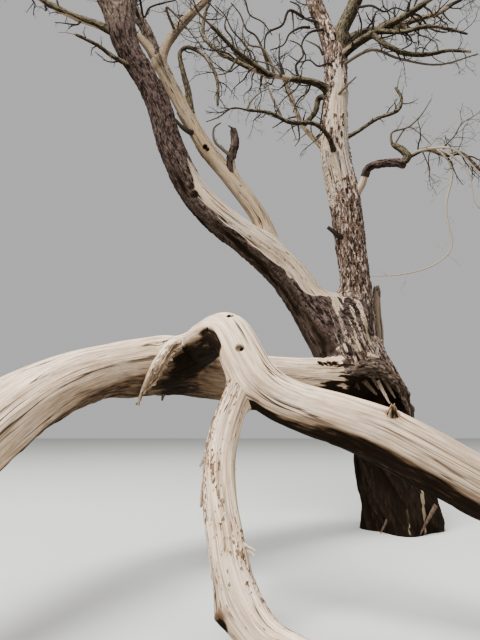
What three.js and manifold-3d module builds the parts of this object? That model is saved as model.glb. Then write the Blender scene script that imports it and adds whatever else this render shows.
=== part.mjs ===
// A dead pine, bare of leaves, standing on a flat cut at ground level.
// Millimetres, Z up, the origin in the middle of the flat cut. The side seen first faces -Y.
import * as THREE from 'three';
import { mergeVertices } from 'three/addons/utils/BufferGeometryUtils.js';
import Module from 'manifold-3d';

const wasm = await Module();
wasm.setup();

// Clearance kept between neighbouring pieces.
const GAP = 0.3;
const GROWN = 0.45;

// Root flare of the trunk: how far the lobes stand out, how many, and the height they fade over.
const FLARE_LOBES = 5;
const FLARE_DEPTH = 0.1;
const FLARE_HEIGHT = 620;
const FLARE_FADE = 3;
const FIRST_LOBE = 0.7;

// The torn lip of bark over the trunk's hollow: its middle line and thickness.
const LIP = [
  [-750, -420, 1590, 200], [-690, -440, 1750, 225], [-510, -430, 1810, 195],
  [-310, -400, 1800, 160], [-120, -350, 1710, 138], [20, -290, 1560, 112],
  [110, -230, 1350, 88], [150, -170, 1180, 66],
];

// The hollow under the lip: an egg-shaped space let into the front of the trunk.
const HOLLOW_MIDDLE = [-115, -330, 1340];
const HOLLOW_HALF_SIZES = [185, 230, 400];
const HOLLOW_SIDES = 12;
const HOLLOW_RINGS = 8;
const LIP_SIDES = 10;
const LIP_SPACING = 190;

// Unevenness of a limb's girth: a twofold flattening and a threefold waviness that turn slowly.
const FLATTENING = 0.045;
const WAVINESS = 0.03;
const TWIST_LENGTH = 1700;
const TURN_BETWEEN_LIMBS = 1.7;

// How narrow a limb's last ring is beside the limb there: at a rounded end and at a broken one.
const DOME_NARROWING = 0.62;
const STUB_NARROWING = 0.5;

const FEWEST_STEPS = 4;
const MERGE_WITHIN = 1e-4;

// Finest corner count and ring spacing by thickness of limb.
const GIRTH_CLASSES = [
  { over: 600, sides: 16, spacing: 220 },
  { over: 280, sides: 10, spacing: 240 },
  { over: 150, sides: 9, spacing: 260 },
  { over: 80, sides: 7, spacing: 240 },
  { over: 0, sides: 6, spacing: 220 },
];

const COLOURS = {
  fissured: { color: 0x5d4c3f, roughness: 0.93 },
  bark: { color: 0x6a5547, roughness: 0.92 },
  bare: { color: 0xc2ac91, roughness: 0.84 },
  twig: { color: 0x64544a, roughness: 0.88 },
};

// Every limb: the places its middle line passes (x, y, z) and how thick it is there.
// `from` names the limb it grows out of and how far along that limb; `root` is its thickness there.
// `parts` names its pieces and how far along the limb each one ends.
// `end` is flat where a twig mass goes on, a stub where the wood is broken, a dome where it forks.
// `fused` names the piece that a short stub is one with.
const LIMBS = {
  trunk: {
    path: [
      [0, 0, 0, 930], [-15, 0, 280, 860], [-80, 0, 730, 800],
      [-165, 0, 1200, 745], [-290, 0, 1600, 725], [-440, 0, 1950, 750],
      [-560, 10, 2290, 700],
    ],
    parts: { trunk: 1 },
    end: 'dome',
    look: 'fissured',
  },
  leaning_stem: {
    from: ['trunk', 0.86],
    root: 620,
    path: [
      [-910, -20, 2510, 480], [-1310, -80, 3070, 430], [-1730, -130, 3410, 398],
      [-2130, -185, 3720, 358], [-2440, -215, 4060, 318], [-2700, -300, 4560, 288],
      [-2890, -420, 5160, 266], [-3040, -480, 5450, 264], [-3240, -550, 5760, 268],
      [-3370, -600, 6160, 262],
    ],
    parts: { leaning_stem_low: 0.5, leaning_stem_high: 1 },
    end: 'dome',
    look: 'bare',
    looks: { leaning_stem_high: 'bark' },
  },
  upright_stem: {
    from: ['trunk', 0.84],
    root: 480,
    path: [
      [-360, 45, 2420, 365], [-365, 50, 2720, 328], [-425, 50, 3350, 346],
      [-485, 50, 4000, 374], [-590, 50, 4680, 368], [-590, 50, 5150, 352],
      [-555, 30, 5580, 300], [-545, 5, 6050, 292], [-530, 0, 6260, 270],
    ],
    parts: { upright_stem_low: 0.52, upright_stem_high: 1 },
    end: 'dome',
    look: 'bark',
    looks: { upright_stem_high: 'bare' },
  },
  second_stem: {
    from: ['leaning_stem', 0.29],
    root: 250,
    path: [
      [-1560, 110, 3760, 224], [-1990, 250, 4460, 217], [-2300, 300, 4880, 207],
      [-2760, 330, 5740, 196], [-3060, 330, 6350, 168],
    ],
    parts: { second_stem: 1 },
    end: 'dome',
    look: 'bare',
  },
  low_limb: {
    from: ['trunk', 0.66],
    root: 570,
    path: [
      [-820, -360, 1625, 528], [-1310, -710, 1615, 508], [-1750, -1070, 1615, 496],
      [-2140, -1380, 1650, 480], [-2400, -1640, 1665, 462], [-2650, -1910, 1650, 458],
      [-2960, -2290, 1580, 434], [-3165, -2770, 1425, 446], [-3300, -3260, 1200, 462],
      [-3430, -3800, 830, 400], [-3530, -4240, 490, 300], [-3620, -4620, 270, 216],
      [-3710, -4980, 190, 150],
    ],
    parts: { low_limb_inner: 0.5, low_limb_middle: 0.72, low_limb_outer: 1 },
    end: 'flat',
    look: 'bare',
  },
  arch_limb: {
    from: ['low_limb', 0.48],
    root: 310,
    path: [
      [-2240, -1930, 1815, 330], [-2130, -2190, 1855, 312], [-2010, -2430, 1870, 312],
      [-1925, -2610, 1825, 314], [-1865, -2720, 1730, 312], [-1810, -2780, 1610, 318],
      [-1730, -2815, 1480, 322], [-1600, -2840, 1375, 316], [-1420, -2895, 1295, 316],
      [-1180, -3040, 1210, 332], [-950, -3160, 1115, 350], [-710, -3300, 975, 343],
      [-500, -3380, 850, 325], [-120, -3500, 640, 280], [380, -3640, 380, 210],
      [760, -3790, 210, 156], [1090, -3950, 150, 120],
    ],
    parts: { arch_limb_rise: 0.19, arch_limb_fall: 0.36, right_limb_inner: 0.66, right_limb_outer: 1 },
    end: 'flat',
    look: 'bare',
  },
  foot_limb: {
    from: ['arch_limb', 0.3],
    root: 170,
    path: [
      [-1885, -2850, 1350, 206], [-1940, -2910, 1180, 206], [-1980, -2985, 990, 204],
      [-1972, -3140, 745, 206], [-1932, -3300, 555, 206], [-1890, -3430, 385, 206],
      [-1825, -3520, 250, 204], [-1730, -3620, 150, 196], [-1560, -3740, 110, 168],
      [-1370, -3850, 95, 130],
    ],
    parts: { foot_limb: 1 },
    end: 'stub',
    look: 'bare',
  },
  torn_splinter: {
    from: ['arch_limb', 0.03],
    root: 120,
    path: [
      [-2425, -2060, 1765, 112], [-2500, -2120, 1620, 108], [-2560, -2170, 1480, 68],
      [-2640, -2200, 1335, 26],
    ],
    parts: { torn_splinter: 1 },
    end: 'stub',
    look: 'bare',
  },
  knot_stub: {
    from: ['arch_limb', 0.555],
    root: 120,
    path: [
      [-945, -3290, 1250, 84], [-952, -3330, 1320, 62],
    ],
    fused: 'right_limb_inner',
    end: 'stub',
    look: 'bare',
  },
  trunk_snag: {
    from: ['trunk', 0.74],
    root: 200,
    path: [
      [-120, 260, 1960, 140], [-45, 300, 2300, 122], [-60, 305, 2600, 112],
      [-42, 300, 2950, 98],
    ],
    parts: { trunk_snag: 1 },
    end: 'stub',
    look: 'bare',
  },
  leaning_fork_left: {
    from: ['leaning_stem', 0.955],
    root: 230,
    path: [
      [-3530, -650, 6420, 224], [-3790, -750, 6880, 196], [-4130, -850, 7440, 150],
      [-4320, -900, 7960, 96],
    ],
    parts: { leaning_fork_left: 1 },
    end: 'flat',
    look: 'bark',
  },
  leaning_fork_right: {
    from: ['leaning_stem', 0.965],
    root: 230,
    path: [
      [-3270, -600, 6500, 236], [-3210, -560, 7080, 208], [-3130, -480, 7760, 158],
      [-3220, -430, 8420, 98],
    ],
    parts: { leaning_fork_right: 1 },
    end: 'flat',
    look: 'bark',
  },
  leaning_side_bough: {
    from: ['leaning_stem', 0.955],
    root: 104,
    path: [
      [-3640, -590, 6100, 98], [-3830, -680, 6110, 92], [-4180, -800, 6210, 74],
      [-4520, -860, 6420, 52],
    ],
    parts: { leaning_side_bough: 1 },
    end: 'flat',
    look: 'bark',
  },
  leaning_thin_bough: {
    from: ['leaning_stem', 0.86],
    root: 64,
    path: [
      [-3410, -700, 5580, 48], [-3540, -860, 5600, 40], [-3740, -1100, 5560, 28],
    ],
    fused: 'leaning_stem_high',
    end: 'stub',
    look: 'bark',
  },
  second_fork_right: {
    from: ['second_stem', 0.96],
    root: 136,
    path: [
      [-2880, 310, 6570, 130], [-2530, 300, 7050, 120], [-2200, 310, 7420, 106],
      [-1880, 360, 7920, 74],
    ],
    parts: { second_fork_right: 1 },
    end: 'flat',
    look: 'bare',
  },
  second_fork_left: {
    from: ['second_stem', 0.96],
    root: 150,
    path: [
      [-3200, 345, 6760, 142], [-3400, 350, 7130, 142], [-3600, 390, 7700, 120],
      [-3640, 520, 8220, 78],
    ],
    parts: { second_fork_left: 1 },
    end: 'flat',
    look: 'bark',
  },
  second_stub: {
    from: ['second_stem', 0.97],
    root: 124,
    path: [
      [-3225, 250, 6520, 108], [-3430, 190, 6700, 88],
    ],
    fused: 'second_stem',
    end: 'stub',
    look: 'bare',
  },
  hooked_branch: {
    from: ['second_stem', 0.66],
    root: 118,
    path: [
      [-2585, 250, 5780, 108], [-2640, 200, 5980, 92], [-2690, 180, 6300, 68],
      [-2610, 160, 6360, 66], [-2480, 140, 6310, 64], [-2300, 75, 6110, 58],
      [-2160, 0, 5740, 52], [-2150, 0, 5360, 36],
    ],
    parts: { hooked_branch_rise: 0.42, hooked_branch_fall: 1 },
    end: 'stub',
    look: 'bark',
  },
  short_snag: {
    from: ['second_stem', 0.37],
    root: 116,
    path: [
      [-1968, 150, 4650, 98], [-1915, 100, 4870, 84], [-1945, 100, 5090, 66],
    ],
    fused: 'second_stem',
    end: 'stub',
    look: 'bare',
  },
  leader_left: {
    from: ['upright_stem', 0.955],
    root: 214,
    path: [
      [-640, 0, 6400, 208], [-780, 0, 6840, 202], [-880, 30, 7250, 188],
      [-960, 120, 7850, 160], [-900, 240, 8500, 126], [-980, 300, 9080, 84],
    ],
    parts: { leader_left: 1 },
    end: 'flat',
    look: 'bare',
  },
  leader_right: {
    from: ['upright_stem', 0.955],
    root: 184,
    path: [
      [-455, -45, 6470, 173], [-350, -100, 6680, 171], [-190, -210, 7020, 158],
      [40, -340, 7480, 132], [180, -420, 8040, 84],
    ],
    parts: { leader_right: 1 },
    end: 'flat',
    look: 'bark',
  },
  right_bough_near: {
    from: ['upright_stem', 0.945],
    root: 108,
    path: [
      [-335, -200, 6110, 96], [-40, -370, 6210, 88], [210, -500, 6270, 76],
      [480, -650, 6370, 60],
    ],
    parts: { right_bough_near: 1 },
    end: 'flat',
    look: 'bark',
  },
  right_bough_droop: {
    from: ['right_bough_near', 0.44],
    root: 66,
    path: [
      [60, -420, 5930, 62], [270, -420, 5830, 58], [560, -400, 5830, 48],
      [860, -380, 5900, 34], [1120, -400, 5860, 22],
    ],
    fused: 'right_bough_near',
    end: 'stub',
    look: 'bark',
  },
  right_bough_low: {
    from: ['right_bough_near', 0.5],
    root: 60,
    path: [
      [210, -560, 6030, 54], [480, -600, 6070, 46], [760, -620, 6020, 36],
      [980, -640, 5930, 22],
    ],
    fused: 'right_bough_near',
    end: 'stub',
    look: 'bark',
  },
  right_bough_far: {
    from: ['leader_right', 0.1],
    root: 108,
    path: [
      [-110, -10, 6480, 96], [290, 90, 6590, 90], [560, 100, 6740, 82],
      [910, 100, 6850, 70], [1140, 100, 6995, 58],
    ],
    parts: { right_bough_far: 1 },
    end: 'flat',
    look: 'bark',
  },
  left_bough_upper: {
    from: ['upright_stem', 0.825],
    root: 168,
    path: [
      [-800, -100, 5610, 126], [-1250, -250, 5600, 100], [-1560, -300, 5630, 90],
      [-1820, -300, 5760, 84], [-2150, -250, 6010, 74], [-2330, -200, 6250, 66],
      [-2335, -200, 6510, 60], [-2290, -200, 6720, 50],
    ],
    parts: { left_bough_upper: 1 },
    end: 'flat',
    look: 'bark',
  },
  left_bough_fork: {
    from: ['left_bough_upper', 0.38],
    root: 80,
    path: [
      [-1730, -430, 5710, 70], [-1930, -600, 5760, 66], [-2190, -850, 5870, 46],
    ],
    parts: { left_bough_fork: 1 },
    end: 'flat',
    look: 'bark',
  },
  left_bough_back: {
    from: ['upright_stem', 0.615],
    root: 92,
    path: [
      [-810, 250, 4990, 78], [-985, 390, 5330, 72], [-1070, 450, 5630, 71],
      [-1180, 550, 6080, 56],
    ],
    parts: { left_bough_back: 1 },
    end: 'flat',
    look: 'bare',
  },
  left_bough_lower: {
    from: ['upright_stem', 0.6],
    root: 104,
    path: [
      [-715, -250, 4750, 72], [-910, -420, 4840, 62], [-1250, -550, 4790, 56],
      [-1490, -620, 4870, 48], [-1770, -650, 4890, 34],
    ],
    parts: { left_bough_lower: 1 },
    end: 'flat',
    look: 'bark',
  },
  curved_stub: {
    from: ['upright_stem', 0.825],
    root: 84,
    path: [
      [-755, 200, 5600, 76], [-800, 250, 5440, 72], [-960, 250, 5210, 46],
    ],
    fused: 'upright_stem_high',
    end: 'stub',
    look: 'bark',
  },
  right_bough_thin: {
    from: ['upright_stem', 0.67],
    root: 60,
    path: [
      [-300, -60, 4950, 46], [-70, -200, 5050, 40], [170, -300, 5110, 38],
      [215, -310, 5270, 36], [150, -300, 5430, 28],
    ],
    fused: 'upright_stem_high',
    end: 'stub',
    look: 'bark',
  },
  bent_bough: {
    from: ['upright_stem', 0.465],
    root: 96,
    path: [
      [-285, -50, 4190, 84], [-200, -130, 4400, 74], [-40, -210, 4420, 77],
      [120, -290, 4390, 82], [215, -330, 4330, 88],
    ],
    parts: { bent_bough: 1 },
    end: 'dome',
    look: 'bark',
  },
  bent_bough_knob: {
    from: ['bent_bough', 0.93],
    root: 84,
    path: [
      [232, -350, 4430, 88], [185, -350, 4520, 80], [60, -310, 4630, 58],
    ],
    fused: 'bent_bough',
    end: 'stub',
    look: 'bark',
  },
  bent_bough_side: {
    from: ['bent_bough_knob', 0.28],
    root: 54,
    path: [
      [430, -430, 4490, 48], [640, -550, 4360, 46], [790, -600, 4350, 40],
      [980, -650, 4110, 32],
    ],
    parts: { bent_bough_side: 1 },
    end: 'flat',
    look: 'bark',
  },
  back_bough_high: {
    from: ['leader_left', 0.52],
    root: 104,
    path: [
      [-780, 520, 8020, 92], [-520, 980, 8200, 78], [-420, 1380, 8520, 54],
    ],
    parts: { back_bough_high: 1 },
    end: 'flat',
    look: 'bark',
  },
  back_bough_left: {
    from: ['leaning_fork_right', 0.5],
    root: 104,
    path: [
      [-3100, -60, 7740, 92], [-2960, 480, 8020, 78], [-3020, 960, 8420, 54],
    ],
    parts: { back_bough_left: 1 },
    end: 'flat',
    look: 'bark',
  },
  back_bough_right: {
    from: ['leader_right', 0.58],
    root: 100,
    path: [
      [170, 80, 7820, 88], [400, 560, 8220, 74], [470, 960, 8640, 52],
    ],
    parts: { back_bough_right: 1 },
    end: 'flat',
    look: 'bark',
  },
  front_bough_high: {
    from: ['leader_left', 0.6],
    root: 104,
    path: [
      [-860, -260, 8180, 92], [-700, -720, 8380, 78], [-610, -1120, 8740, 54],
    ],
    parts: { front_bough_high: 1 },
    end: 'flat',
    look: 'bark',
  },
  front_bough_left: {
    from: ['leaning_fork_left', 0.42],
    root: 110,
    path: [
      [-3960, -1160, 7260, 94], [-4060, -1560, 7440, 80], [-4220, -1900, 7780, 54],
    ],
    parts: { front_bough_left: 1 },
    end: 'flat',
    look: 'bark',
  },
};

// Every twig mass: the limb whose tip it grows from, how far it reaches, the number that starts its
// rule, and how strongly its twigs turn up (above nought) or hang (below nought).
const TWIG_MASSES = {
  twigs_top: { on: 'leader_left', reach: 1150, seed: 11, lift: 0.45 },
  twigs_leader_right: { on: 'leader_right', reach: 1080, seed: 23, lift: 0.4 },
  twigs_right_near: { on: 'right_bough_near', reach: 960, seed: 37, lift: 0.1 },
  twigs_right_far: { on: 'right_bough_far', reach: 980, seed: 41, lift: 0.1 },
  twigs_left_upper: { on: 'left_bough_upper', reach: 820, seed: 53, lift: 0.25 },
  twigs_left_fork: { on: 'left_bough_fork', reach: 640, seed: 67, lift: 0.1 },
  twigs_left_back: { on: 'left_bough_back', reach: 560, seed: 71, lift: 0.3 },
  twigs_left_lower: { on: 'left_bough_lower', reach: 520, seed: 83, lift: 0 },
  twigs_bent_bough: { on: 'bent_bough_side', reach: 760, seed: 97, lift: -0.5 },
  twigs_leaning_left: { on: 'leaning_fork_left', reach: 1080, seed: 101, lift: 0.35 },
  twigs_leaning_right: { on: 'leaning_fork_right', reach: 1080, seed: 113, lift: 0.4 },
  twigs_leaning_side: { on: 'leaning_side_bough', reach: 820, seed: 127, lift: 0.15 },
  twigs_second_right: { on: 'second_fork_right', reach: 960, seed: 131, lift: 0.35 },
  twigs_second_left: { on: 'second_fork_left', reach: 960, seed: 149, lift: 0.35 },
  twigs_back_high: { on: 'back_bough_high', reach: 980, seed: 157, lift: 0.3 },
  twigs_back_left: { on: 'back_bough_left', reach: 940, seed: 163, lift: 0.3 },
  twigs_back_right: { on: 'back_bough_right', reach: 940, seed: 191, lift: 0.3 },
  twigs_front_high: { on: 'front_bough_high', reach: 980, seed: 199, lift: 0.3 },
  twigs_front_left: { on: 'front_bough_left', reach: 980, seed: 211, lift: 0.3 },
  twigs_low_limb: { on: 'low_limb', reach: 760, seed: 173, lift: 0.3 },
  twigs_right_limb: { on: 'arch_limb', reach: 700, seed: 181, lift: 0.35 },
};

// The twig rule: twigs on the stem and twigs on each of those, where along it they start, how far
// they lean away, how long and how thick they are beside the one that bears them.
const TWIGS_ON_STEM = 5;
const TWIGS_ON_LOW_TWIG = 2;
const TWIGS_ON_HIGH_TWIG = 1;
const LOW_TWIGS = 3;
const FIRST_TWIG_AT = 0.16;
const LAST_TWIG_AT = 0.88;
const TWIG_LEAN = 0.85;
const TWIG_LENGTH = 0.62;
const TWIG_THICKNESS = 0.62;
const THINNEST_TWIG = 7;
const TURN_BETWEEN_TWIGS = 2.4;
const CROOKEDNESS = 0.22;
const STEM_TURNS = 3;
const TWIG_TURNS = 2;
const SPACE_WIDTH = 0.66;
const LOWEST_TWIG = 45;
const TWIG_CLEARANCE = 16;
const SAMPLES_PER_TWIG = 8;

// Thicknesses: a stem beside its bough's tip, its own tip beside its root, how much thinner a twig
// is towards the tip of the one that bears it, and the least that a stem or a first twig may have.
const STEM_GIRTH = 0.86;
const STEM_TIP = 0.25;
const TWIG_TAPER = 0.6;
const TWIG_TIP = 0.4;
const LAST_TIP = 0.8;
const FIRST_TWIG_LEAST = 1.6;
const SHORTENING = 0.5;
const TURN_SPREAD = 0.5;
const FIRST_SPROUT_AT = 0.42;
const BETWEEN_SPROUTS = 0.32;
const STEM_SIDES = 4;
const TWIG_SIDES = 3;

// Places that a twig keeps clear of: how far apart they are along a limb and how much room each takes.
const PLACES_APART = 60;
const ROOM = 1.1;

const MODULUS = 2147483647;
const MULTIPLIER = 48271;
const SEED_STRIDE = 7919;
const SEED_START = 13;

// Even numbers between -1 and 1, the same for the same starting number.
function evenNumbers(seed) {
  let state = (seed * SEED_STRIDE + SEED_START) % MODULUS;
  return () => {
    state = (state * MULTIPLIER) % MODULUS;
    return (2 * state) / MODULUS - 1;
  };
}

function toManifold(geometry) {
  const plain = geometry.clone();
  plain.deleteAttribute('normal');
  plain.deleteAttribute('uv');
  const merged = mergeVertices(plain, MERGE_WITHIN);
  return new wasm.Manifold(new wasm.Mesh({
    numProp: 3,
    vertProperties: new Float32Array(merged.attributes.position.array),
    triVerts: new Uint32Array(merged.index.array),
  }));
}

function toGeometry(solid) {
  const { vertProperties, triVerts, numProp } = solid.getMesh();
  const geometry = new THREE.BufferGeometry();
  const corners = new Float32Array((vertProperties.length / numProp) * 3);
  for (let i = 0; i < corners.length / 3; i += 1) {
    corners.set(vertProperties.slice(i * numProp, i * numProp + 3), i * 3);
  }
  geometry.setAttribute('position', new THREE.BufferAttribute(corners, 3));
  geometry.setIndex(new THREE.BufferAttribute(new Uint32Array(triVerts), 1));
  const flat = geometry.toNonIndexed();
  flat.computeVertexNormals();
  return flat;
}

function largestPiece(solid) {
  const pieces = solid.decompose();
  return pieces.reduce((best, piece) => (piece.volume() > best.volume() ? piece : best));
}

// A limb's middle line with its thickness, cut into even steps.
class Limb {
  constructor(name, waypoints, sides, spacing) {
    this.name = name;
    this.sides = sides;
    this.thick = waypoints.map((place) => place[3]);
    this.curve = new THREE.CatmullRomCurve3(waypoints.map((place) => new THREE.Vector3(...place)));
    this.length = this.curve.getLength();
    this.steps = Math.max(FEWEST_STEPS, Math.round(this.length / spacing));
    this.frames = this.curve.computeFrenetFrames(this.steps, false);
  }

  place(u) {
    return this.curve.getPointAt(u);
  }

  tangent(u) {
    return this.curve.getTangentAt(u);
  }

  radius(u) {
    const along = this.curve.getUtoTmapping(u) * (this.thick.length - 1);
    const before = Math.min(this.thick.length - 2, Math.floor(along));
    return THREE.MathUtils.lerp(this.thick[before], this.thick[before + 1], along - before) / 2;
  }

  // How much wider than the plain radius the limb is in one direction around it.
  unevenness(u, angle, seed) {
    const turn = (u * this.length) / TWIST_LENGTH + seed;
    return 1 + FLATTENING * Math.cos(2 * angle + turn) + WAVINESS * Math.cos(3 * angle - 2 * turn);
  }
}

function rootFlare(height, angle) {
  const fade = Math.exp(-((height / FLARE_HEIGHT) ** 2) * FLARE_FADE);
  return 1 + FLARE_DEPTH * fade * Math.cos(FLARE_LOBES * angle + FIRST_LOBE);
}

// One piece of a limb between two steps, closed at both ends; `grow` makes it fatter and longer.
function limbPiece(limb, first, last, options, grow) {
  const { seed, end, flared } = options;
  const steps = last - first;
  const geometry = new THREE.CylinderGeometry(1, 1, 1, limb.sides, steps);
  const corner = geometry.attributes.position;
  const point = new THREE.Vector3();
  for (let i = 0; i < corner.count; i += 1) {
    point.fromBufferAttribute(corner, i);
    const step = first + Math.round((point.y + 0.5) * steps);
    const u = step / limb.steps;
    const angle = Math.atan2(point.x, point.z);
    const onRim = Math.hypot(point.x, point.z) > 0.5 ? 1 : 0;
    let radius = limb.radius(u) * limb.unevenness(u, angle, seed);
    const middle = limb.place(u);
    if (flared) {
      radius *= rootFlare(middle.z, angle);
    }
    const atTip = step === limb.steps;
    if (atTip && end !== 'flat') {
      radius *= end === 'dome' ? DOME_NARROWING : STUB_NARROWING;
    }
    radius = (radius + grow) * onRim;
    const across = limb.frames.binormals[step];
    const beside = limb.frames.normals[step];
    middle.addScaledVector(across, Math.sin(angle) * radius);
    middle.addScaledVector(beside, Math.cos(angle) * radius);
    let shift = 0;
    if (step === first) {
      shift = first === 0 ? -grow : GAP / 2 - grow;
    }
    if (step === last) {
      shift = atTip ? grow : grow - GAP / 2;
    }
    middle.addScaledVector(limb.frames.tangents[step], shift);
    if (flared && step === 0) {
      middle.z = -grow;
    }
    corner.setXYZ(i, middle.x, middle.y, middle.z);
  }
  return toManifold(geometry);
}

function girthClass(thick) {
  return GIRTH_CLASSES.find((one) => thick > one.over);
}

const group = new THREE.Group();
group.name = 'dead_pine';
const limbs = {};
const solids = [];

function boxesMeet(a, b) {
  return [0, 1, 2].every((axis) => a.min[axis] <= b.max[axis] && b.min[axis] <= a.max[axis]);
}

function clearOfNeighbours(solid, host) {
  let left = solid;
  for (const other of solids) {
    if (other.part !== host && boxesMeet(left.boundingBox(), other.grown.boundingBox())) {
      left = left.subtract(other.grown);
    }
  }
  return largestPiece(left);
}

// The finished pieces by name, each with its solid and its look.
const nodes = new Map();

function addMesh(name, { solid, look }) {
  const material = new THREE.MeshStandardMaterial({ ...COLOURS[look], metalness: 0 });
  material.name = name;
  const mesh = new THREE.Mesh(toGeometry(solid), material);
  mesh.name = name;
  group.add(mesh);
}

// Places along every limb, for twigs to keep clear of.
const occupied = [];

// The trunk's own lip and hollow.
function lipPiece(grow) {
  const lip = new Limb('lip', LIP, LIP_SIDES, LIP_SPACING);
  return limbPiece(lip, 0, lip.steps, { seed: 0, end: 'stub', flared: false }, grow);
}

function hollowPiece() {
  const geometry = new THREE.SphereGeometry(1, HOLLOW_SIDES, HOLLOW_RINGS);
  geometry.scale(...HOLLOW_HALF_SIZES);
  geometry.translate(...HOLLOW_MIDDLE);
  return toManifold(geometry);
}

function buildLimb(name, spec, seed) {
  const waypoints = spec.path.map((place) => [...place]);
  if (spec.from) {
    const [parent, along] = spec.from;
    const start = limbs[parent].place(along);
    waypoints.unshift([start.x, start.y, start.z, spec.root]);
  }
  const thickest = Math.max(...spec.path.map((place) => place[3]));
  const { sides, spacing } = girthClass(thickest);
  const limb = new Limb(name, waypoints, sides, spacing);
  limbs[name] = limb;
  const ends = Object.entries(spec.parts || { [name]: 1 });
  let first = 0;
  const pieces = ends.map(([part, until]) => {
    const last = Math.round(until * limb.steps);
    const options = { seed, end: spec.end, flared: name === 'trunk' };
    const piece = {
      part,
      solid: limbPiece(limb, first, last, options, 0),
      grown: limbPiece(limb, first, last, options, GROWN),
    };
    first = last;
    return piece;
  });
  for (const piece of pieces) {
    if (name === 'trunk') {
      piece.solid = piece.solid.add(lipPiece(0)).subtract(hollowPiece());
      piece.grown = piece.grown.add(lipPiece(GROWN));
    }
    const solid = clearOfNeighbours(piece.solid, spec.fused);
    if (spec.fused) {
      const host = nodes.get(spec.fused);
      host.solid = host.solid.add(solid);
      piece.part = spec.fused;
    } else {
      nodes.set(piece.part, { solid, look: (spec.looks && spec.looks[piece.part]) || spec.look });
    }
  }
  for (const piece of pieces) {
    solids.push(piece);
  }
  const samples = Math.ceil(limb.length / PLACES_APART);
  for (let i = 0; i <= samples; i += 1) {
    occupied.push({ owner: name, place: limb.place(i / samples), radius: limb.radius(i / samples) });
  }
}

// A slender twig through three turns, thick at its root.
function twigSolid(places, thick, thin, sides) {
  const waypoints = places.map((place, i) => {
    const along = i / (places.length - 1);
    return [place.x, place.y, place.z, THREE.MathUtils.lerp(thick, thin, along)];
  });
  const twig = new Limb('twig', waypoints, sides, Infinity);
  twig.steps = places.length - 1;
  twig.frames = twig.curve.computeFrenetFrames(twig.steps, false);
  return limbPiece(twig, 0, twig.steps, { seed: 0, end: 'flat', flared: false }, 0);
}

function sideways(heading, turn) {
  const helper = Math.abs(heading.z) < 0.9 ? new THREE.Vector3(0, 0, 1) : new THREE.Vector3(1, 0, 0);
  const across = new THREE.Vector3().crossVectors(heading, helper).normalize();
  const beside = new THREE.Vector3().crossVectors(heading, across);
  return across.multiplyScalar(Math.cos(turn)).addScaledVector(beside, Math.sin(turn));
}

// The turning places of a twig: it sets off along its heading and bends up or down as it goes.
function twigPlaces(start, heading, length, lift, number, turns) {
  const places = [start.clone()];
  const way = heading.clone();
  for (let i = 0; i < turns; i += 1) {
    way.x += CROOKEDNESS * number();
    way.y += CROOKEDNESS * number();
    way.z += CROOKEDNESS * number() + lift / turns;
    way.normalize();
    const next = places[i].clone().addScaledVector(way, length / turns);
    next.z = Math.max(next.z, LOWEST_TWIG);
    places.push(next);
  }
  return places;
}

function insideSpace(places, space) {
  return places.every((place) => place.distanceTo(space.middle) < space.radius);
}

function clearOfOthers(places, thick, owner) {
  const curve = new THREE.CatmullRomCurve3(places);
  for (let i = 1; i <= SAMPLES_PER_TWIG; i += 1) {
    const place = curve.getPoint(i / SAMPLES_PER_TWIG);
    for (const taken of occupied) {
      const room = taken.radius * ROOM + thick + TWIG_CLEARANCE;
      if (taken.owner !== owner && place.distanceTo(taken.place) < room) {
        return false;
      }
    }
  }
  return true;
}

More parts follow.
